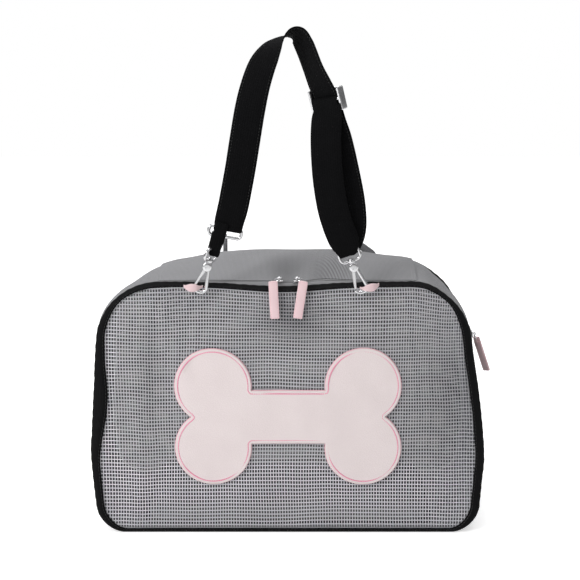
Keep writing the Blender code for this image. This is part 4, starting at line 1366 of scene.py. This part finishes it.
def make_rear_loops():
    """Triangular webbing loops standing behind the rear binding."""
    low, wide = 0.262, 0.024
    y = half_depth(low) + 0.0014
    for name, x, tall, web in (("left_rear_loop", -0.0800, 0.0365, 0.0052),
                               ("right_rear_loop", 0.0850, 0.0225, 0.0090)):
        out = 1 if x > 0 else -1
        corners = [Vector((x + out * wide * a, y, low + b)) for a, b in
                   ((-0.26, 0.002), (0.56, 0.002), (0.56, 0.0135), (0.05, tall), (-0.26, tall))]
        path = []
        for i, here in enumerate(corners):
            back, ahead = corners[i - 1], corners[(i + 1) % len(corners)]
            for t in (0.30, 0.12, 0.0, -0.12, -0.30):
                toward = back if t > 0 else ahead
                cut = here.lerp((back + ahead) / 2, 0.06) - here
                path.append(here.lerp(toward, abs(t)) + cut * (t == 0))
        edge = web / 2 - 0.0004
        shape = [(0, web / 2), (0.0007, edge), (0.0008, 0), (0.0007, -edge), (0, -web / 2), (-0.0007, -edge),
                 (-0.0008, 0), (-0.0007, edge)]
        uvs = [(k * 0.0011, i * 0.003) for i in range(len(path)) for k in range(len(shape))]
        sections = swept(path, True, Vector((0, 1, 0)), shape)
        lofted(name + "_web", sections, GREY_WEB, "bag", [name], 60, uvs, True)


# ---------------------------------------------------------------- strap and its metalware

# x, distance behind STRAP_Y and z in mm, width in mm, lie of the width in the XZ plane and twist
STRAP_ROUTE = [
    (-58.6, 3.1, 358, 31, -10, 0), (-61.2, 3.1, 346, 30.5, -10, 0), (-62.9, 2.9, 337.6, 30, -10, 0),
    (-63.6, 0, 334, 30, -10, 0), (-62.9, -2.9, 337.6, 30, -10, 0), (-61.2, -2.6, 346, 31, -10, 0),
    (-57, -1.3, 362, 32, -11, 0), (-50, 0, 398, 32, -10, 0), (-45, 0, 428, 32, -10, 2),
    (-39.5, 0, 460, 32, -11, 8), (-34, 0, 484, 32, -16, 18), (-27.3, 0, 504, 32, -27, 28),
    (-19.6, 0, 517.7, 32, -38, 45), (-12.5, 0, 526.5, 32, -56, 64), (-5.5, 0, 533.6, 32, -80, 86),
    (1.5, 0, 537.4, 32, -97, 108), (7.1, 0, 537.6, 32, -114, 122), (11.9, 0, 534.6, 32, -124, 128),
    (15.8, 0, 527.5, 32, -138, 130), (19.6, 0, 518.6, 32, -154, 129), (25.7, 0, 502.8, 32, -158, 130),
    (32.4, 0, 487.5, 32, -161, 137), (40.0, 0, 470.5, 32, -166, 143), (45.6, 0, 449, 32, -166.6, 151),
    (51.2, 0, 428, 32, -166.6, 166), (58.5, 1.2, 396, 32, -167, 174), (64.5, 2.5, 366, 32, -170, 182),
    (67.2, 2.9, 344, 31, -172, 184), (66.6, 2.9, 331, 30, -166, 182), (64.4, 2.9, 320.5, 27.5, -160, 180),
    (62.6, 2.8, 313.2, 22.5, -160, 180), (61.6, 1.6, 308.8, 16, -160, 180),
]
RETURN_ROUTE = [
    (61.5, 0.6, 307.4, 13.5, -160, 180), (61.4, -1.4, 307.0, 14, -160, 180),
    (61.3, -2.9, 309.4, 19, -160, 180), (60.9, -3.5, 314.6, 26, -159, 180),
    (59.5, -3.9, 321.5, 30.5, -158, 180), (56.6, -4.4, 329, 32, -158, 180),
    (51.5, -5.2, 342, 32, -161, 180), (45.9, -6.3, 362, 32, -167, 178), (41.2, -7.1, 392, 32, -177, 174),
    (39.0, -7.6, 424, 32, -183, 169), (39.2, -8.6, 446, 32, -178, 166), (40.4, -8.8, 458, 32, -169, 156),
    (41.0, -7.2, 467.6, 31.6, -166.6, 145),
]


WEB_THICK = 0.0016


def route_strip(rows, steps=9):
    rows = catmull(rows, steps)
    points = [Vector(row[:3]) / 1000 + Vector((0, STRAP_Y, 0)) for row in rows]
    acrosses = []
    for row in rows:
        lie, twist = math.radians(row[4]), math.radians(row[5])
        acrosses.append(Vector((math.cos(lie) * math.cos(twist), -math.sin(twist),
                                math.sin(lie) * math.cos(twist))))
    return points, acrosses, [row[3] / 1000 for row in rows]


def edge_seams(points, acrosses, widths, inset):
    """Paths of stitching along both edges of a strip, on both faces."""
    rows = []
    for side in (-1, 1):
        for face in (1, -1):
            line, up = [], []
            for (p, across, through), wide in zip(strip_frames(points, acrosses), widths):
                out = through * face
                line.append(p + across * side * (wide / 2 - inset) + out * WEB_THICK / 2)
                up.append(out)
            rows.append((line, up))
    return rows


def make_strap():
    points, acrosses, widths = route_strip(STRAP_ROUTE)
    strip("strap_main", points, acrosses, widths, WEB_THICK, BLACK, "strap", ["strap_webbing"])
    rows = edge_seams(points[50:-20], acrosses[50:-20], widths[50:-20], 0.0028)
    stitches("strap_edge_seams", rows, BLACK_THREAD, "strap", pitch=0.0034, size=0.00030)
    points, acrosses, widths = route_strip(RETURN_ROUTE)
    made = strip_free("strap_return", points, acrosses, widths, WEB_THICK, BLACK)
    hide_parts("strap_return_webbing")
    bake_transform(made)


def tilted(place, angle):
    up = Vector((math.sin(angle), 0, math.cos(angle)))
    across = Vector((math.cos(angle), 0, -math.sin(angle)))
    return Matrix.Translation(place) @ Matrix((across, up, Vector((0, -1, 0)))).transposed().to_4x4()


RING_CENTRE, RING_TILT = Vector((-0.0663, STRAP_Y, 0.3326)), math.radians(10)
HOOK_TILT = math.radians(20)
HOOK_HEADS = (("left", Vector((-0.0855, STRAP_Y, 0.2952)), HOOK_TILT),
              ("right", Vector((0.0694, STRAP_Y, 0.2947)), -HOOK_TILT))


def make_ring():
    place = tilted(RING_CENTRE, RING_TILT)
    path = [place @ Vector((x, y, 0)) for x, y in rounded(0.0345, 0.0100, 0.0040, 6)]
    tube("oval_ring", path, 0.0018, NICKEL, "strap", ["strap_ring"], True, count=14)


def make_hook_tab():
    ring_bar = tilted(RING_CENTRE, RING_TILT) @ Vector((-0.0075, -0.0050, 0))
    eye_bar = tilted(HOOK_HEADS[0][1], HOOK_TILT) @ Vector((0, 0.0205, 0))
    up = ring_bar - eye_bar
    place = tilted(eye_bar, math.atan2(up.x, up.z))
    path = []
    for centre, first in ((up.length, 0), (0.0, 180)):
        for k in range(9):
            angle = math.radians(first + 180 * k / 8)
            path.append((0.0030 * math.cos(angle), centre + 0.0030 * math.sin(angle)))
    pinch = [(a * (1 - 0.55 * hill(b, up.length / 2, 0.006)), b) for a, b in dense(path, 0.0012)]
    points = [place @ Vector((0, b, a)) for a, b in pinch]
    side = place.to_3x3() @ Vector((1, 0, 0))
    shape = [(0.0062, 0), (0.0058, 0.0005), (0.002, 0.0006), (-0.002, 0.0006), (-0.0058, 0.0005)]
    shape += [(-a, -b) for a, b in shape]
    uvs = [(k * 0.0012, i * 0.0012) for i in range(len(points)) for k in range(len(shape))]
    lofted("hook_tab_web", swept(points, True, side, shape), BLACK, "strap", ["hook_tab"], 60, uvs, True)
    flap = [place @ Vector((0.0018, t, 0.0044 + 0.0010 * smooth(0.0, up.length, t))) for t in
            spaced(-0.0068, up.length + 0.0150, 0.0012)]
    wide = [0.0112 * smooth(-0.0042, 0.0030, 0.0012 * k) ** 0.5 + 0.0026 * smooth(0.006, 0.020, 0.0012 * k)
            for k in range(len(flap))]
    strip("hook_tab_flap", flap, [side] * len(flap), wide, WEB_THICK, BLACK, "strap")


def disc(name, start, axis, radius, thick, material, body, nodes=(), crown=0.0006, count=28):
    """A round part with softened rims, from start along axis."""
    axis = axis.normalized()
    side = axis.orthogonal().normalized()
    up = axis.cross(side)
    soft = min(0.0006, thick / 3)
    profile = [(radius * 0.55, -crown * 0.5), (radius - soft, 0), (radius, soft), (radius, thick - soft),
               (radius - soft, thick), (radius * 0.55, thick + crown * 0.5)]
    sections = [round_section(start + axis * d, side, up, r, r, count) for r, d in profile]
    return lofted(name, sections, material, body, nodes)


def make_hooks():
    for word, head, tilt in HOOK_HEADS:
        place = tilted(head, tilt)
        up, out = (place.to_3x3() @ Vector(axis) for axis in ((0, 1, 0), (0, 0, 1)))
        turned = place @ Matrix.Rotation(math.radians(58 if word == "left" else 0), 4, "Y")
        eye = [turned @ Vector((x, y, 0)) for x, y in rounded(0.0220, 0.0135, 0.0052, 7, (0.0, 0.0138))]
        tube(word + "_eye", eye, 0.0017, NICKEL, "strap", [word + "_swivel_eye"], True, count=14)
        boss = place @ Vector((0, 0.0054, 0))
        disc(word + "_eye_boss", boss, up, 0.0044, 0.0036, NICKEL, "strap", crown=0.0)
        body = word + "_hook"
        knots = [(0.0018, 0.0004), (0.0027, -0.0040), (0.0042, -0.0120), (0.0062, -0.0215),
                 (0.0064, -0.0245), (0.0050, -0.0270), (0.0024, -0.0284), (-0.0010, -0.0286),
                 (-0.0042, -0.0274), (-0.0062, -0.0252), (-0.0066, -0.0240)]
        bow = [place @ Vector((a, b, 0)) for a, b in catmull(knots, 5)]
        last = len(bow)
        radii = [0.0019 * (0.88 + 0.18 * smooth(0, 12, i)) * (1 - 0.35 * smooth(last - 5, last, i))
                 for i in range(last)]
        tube(word + "_hook_bow", bow, 0.0019, NICKEL, body, [word + "_hook_body"], up=out, count=14,
             radii=radii)
        for part, start, axis, radius, thick, crown, count in (
                ("_cheek_back", (0, 0, -0.0027), out, 0.0049, 0.0012, 0.0003, 28),
                ("_cheek_front", (0, 0, 0.0016), out, 0.0049, 0.0012, 0.0003, 28),
                ("_head_core", (0.0022, 0.0012, -0.0018), out, 0.0019, 0.0036, 0.0, 28),
                ("_stem", (0, 0.0020, 0), up, 0.0016, 0.0075, 0.0, 16),
                ("_stem_button", (0, 0.0092, 0), up, 0.0026, 0.0013, 0.0006, 20)):
            disc(word + part, place @ Vector(start), axis, radius, thick, NICKEL, body, (), crown, count)
        disc(word + "_rivet", place @ Vector((-0.0012, -0.0010, -0.0031)), out, 0.0009, 0.0062, HOOP, body,
             [word + "_gate_rivet"], 0.0002, 14)
        lever = [(-0.0029, -0.0006), (-0.0071, -0.0222), (-0.0064, -0.0232), (-0.0047, -0.0228),
                 (0.0004, -0.0030), (0.0006, -0.0002), (-0.0006, 0.0010), (-0.0022, 0.0006)]
        layers = [(0.0004, -0.0011), (0.0, -0.0007), (0.0, 0.0007), (0.0004, 0.0011)]
        slab(word + "_gate_lever", dense(lever, 0.0011), layers, place, NICKEL, word + "_gate",
             [word + "_gate"])


ADJUSTER_AT, ADJUSTER_TILT, MIDDLE_BAR = Vector((0.0410, STRAP_Y, 0.4710)), math.radians(13.4), 0.0044
ADJUSTER_TURN = math.radians(-37)  # the strap still turns as it passes the slide


def make_adjuster():
    place = tilted(ADJUSTER_AT, -ADJUSTER_TILT) @ Matrix.Rotation(ADJUSTER_TURN, 4, "Y")
    rail = rounded(0.0028, 0.0240, 0.0013, 4)
    for word, x in (("left", -0.0183), ("right", 0.0183)):
        outline = [(x + a, b) for a, b in rail]
        layers = [(0.0006, -0.0040), (0, -0.0034), (0, 0.0050), (0.0006, 0.0056)]
        slab(f"slide_rail_{word}", outline, layers, place, NICKEL, "adjuster",
             ["strap_adjuster"] if x < 0 else ())
    side = place.to_3x3() @ Vector((1, 0, 0))
    for word, y, z in (("lower", -0.0103, -0.0027), ("upper", 0.0103, -0.0027), ("middle", 0.0, MIDDLE_BAR)):
        disc(f"slide_bar_{word}", place @ Vector((-0.0175, y, z)), side, 0.0015, 0.0350, NICKEL, "adjuster",
             crown=0.0, count=16)
    path = [(-0.0025, -0.0140), (-0.0025, -0.0070), (-0.0025, 0.0)]
    path += [(0.0025 * math.cos(a), 0.0025 * math.sin(a)) for a in spaced(math.pi - 0.3, 0.3, 0.35)]
    path += [(0.0025, 0.0), (0.0025, -0.0040), (0.0026, -0.0090)]
    at_bar = place @ Matrix.Translation((0, 0, MIDDLE_BAR))
    points = [at_bar @ Vector((0, b, a)) for a, b in path]
    strip("strap_end_fold", points, [side] * len(points), [0.0318] * len(points), 0.0015, BLACK,
          "adjuster", ["strap_end_loop"])


# ---------------------------------------------------------------- the floor pad

def make_floor_pad():
    """A padded mat: a rounded block blown up by a cloth simulation."""
    low, thick = 0.0061, 0.0155
    outline = dense(rounded(0.316, 0.158, 0.020, 8), 0.006)
    layers = [(0.004, low), (0.0, low + 0.004), (0.0, low + thick - 0.004), (0.004, low + thick)]
    pad = slab("floor_mat", outline, layers, Matrix.Identity(4), PAD, "bag", ["floor_pad"], 80)
    puff(pad)


def puff(obj):
    """Remeshes a closed piece, inflates it softly in place, and caps how far any point moves."""
    context = bpy.context
    remesh = obj.modifiers.new("even", "REMESH")
    remesh.mode, remesh.voxel_size = "VOXEL", 0.005
    context.view_layer.update()
    mesh = bpy.data.meshes.new_from_object(obj.evaluated_get(context.evaluated_depsgraph_get()))
    obj.modifiers.clear()
    obj.data = mesh
    rest = [v.co.copy() for v in mesh.vertices]
    cloth = obj.modifiers.new("cloth", "CLOTH")
    cloth.settings.use_pressure = True
    cloth.settings.uniform_pressure_force = 4.0
    cloth.settings.effector_weights.gravity = 0.0
    cloth.settings.quality = 4
    cloth.point_cache.frame_start, cloth.point_cache.frame_end = 1, 20
    for number in range(1, 21):
        context.scene.frame_set(number)
    moved = bpy.data.meshes.new_from_object(obj.evaluated_get(context.evaluated_depsgraph_get()))
    obj.modifiers.clear()
    limit = 0.0022
    for vert, start, after in zip(mesh.vertices, rest, moved.vertices):
        shift = after.co - start
        if shift.length > limit:
            shift *= limit / shift.length
        vert.co = start + shift
        vert.co.z = max(vert.co.z, 0.0060)
    bpy.data.meshes.remove(moved)
    mesh.materials.clear()
    mesh.materials.append(PAD)
    layer = mesh.uv_layers.get("weave") or mesh.uv_layers.new(name="weave")
    for loop in mesh.loops:
        p = mesh.vertices[loop.vertex_index].co
        layer.data[loop.index].uv = (p.x + p.z * 0.3, p.y + p.z * 0.3)
    for face in mesh.polygons:
        face.use_smooth = True
    context.scene.frame_set(1)


def main():
    make_stage()
    make_lights()
    make_camera()
    make_net("front_net", -1, NET, "front_mesh_panel", 0.009)
    make_net("rear_net", 1, NET_REAR, "rear_mesh_panel", 0.012)
    make_backing()
    for word, side in (("front", -1), ("rear", 1)):
        make_binding(word + "_trim", side, word + "_binding")
        make_hoop(word + "_hoop_wire", side, word + "_frame_hoop")
        make_binding_stitches(word + "_trim_stitches", side)
    make_walls()
    make_lid()
    make_base()
    make_top_zip()
    make_door_zip()
    make_lid_seams()
    make_top_sliders()
    make_door_slider()
    make_patch()
    make_front_loops()
    make_rear_loops()
    make_strap()
    make_ring()
    make_hook_tab()
    make_hooks()
    make_adjuster()
    make_floor_pad()


main()
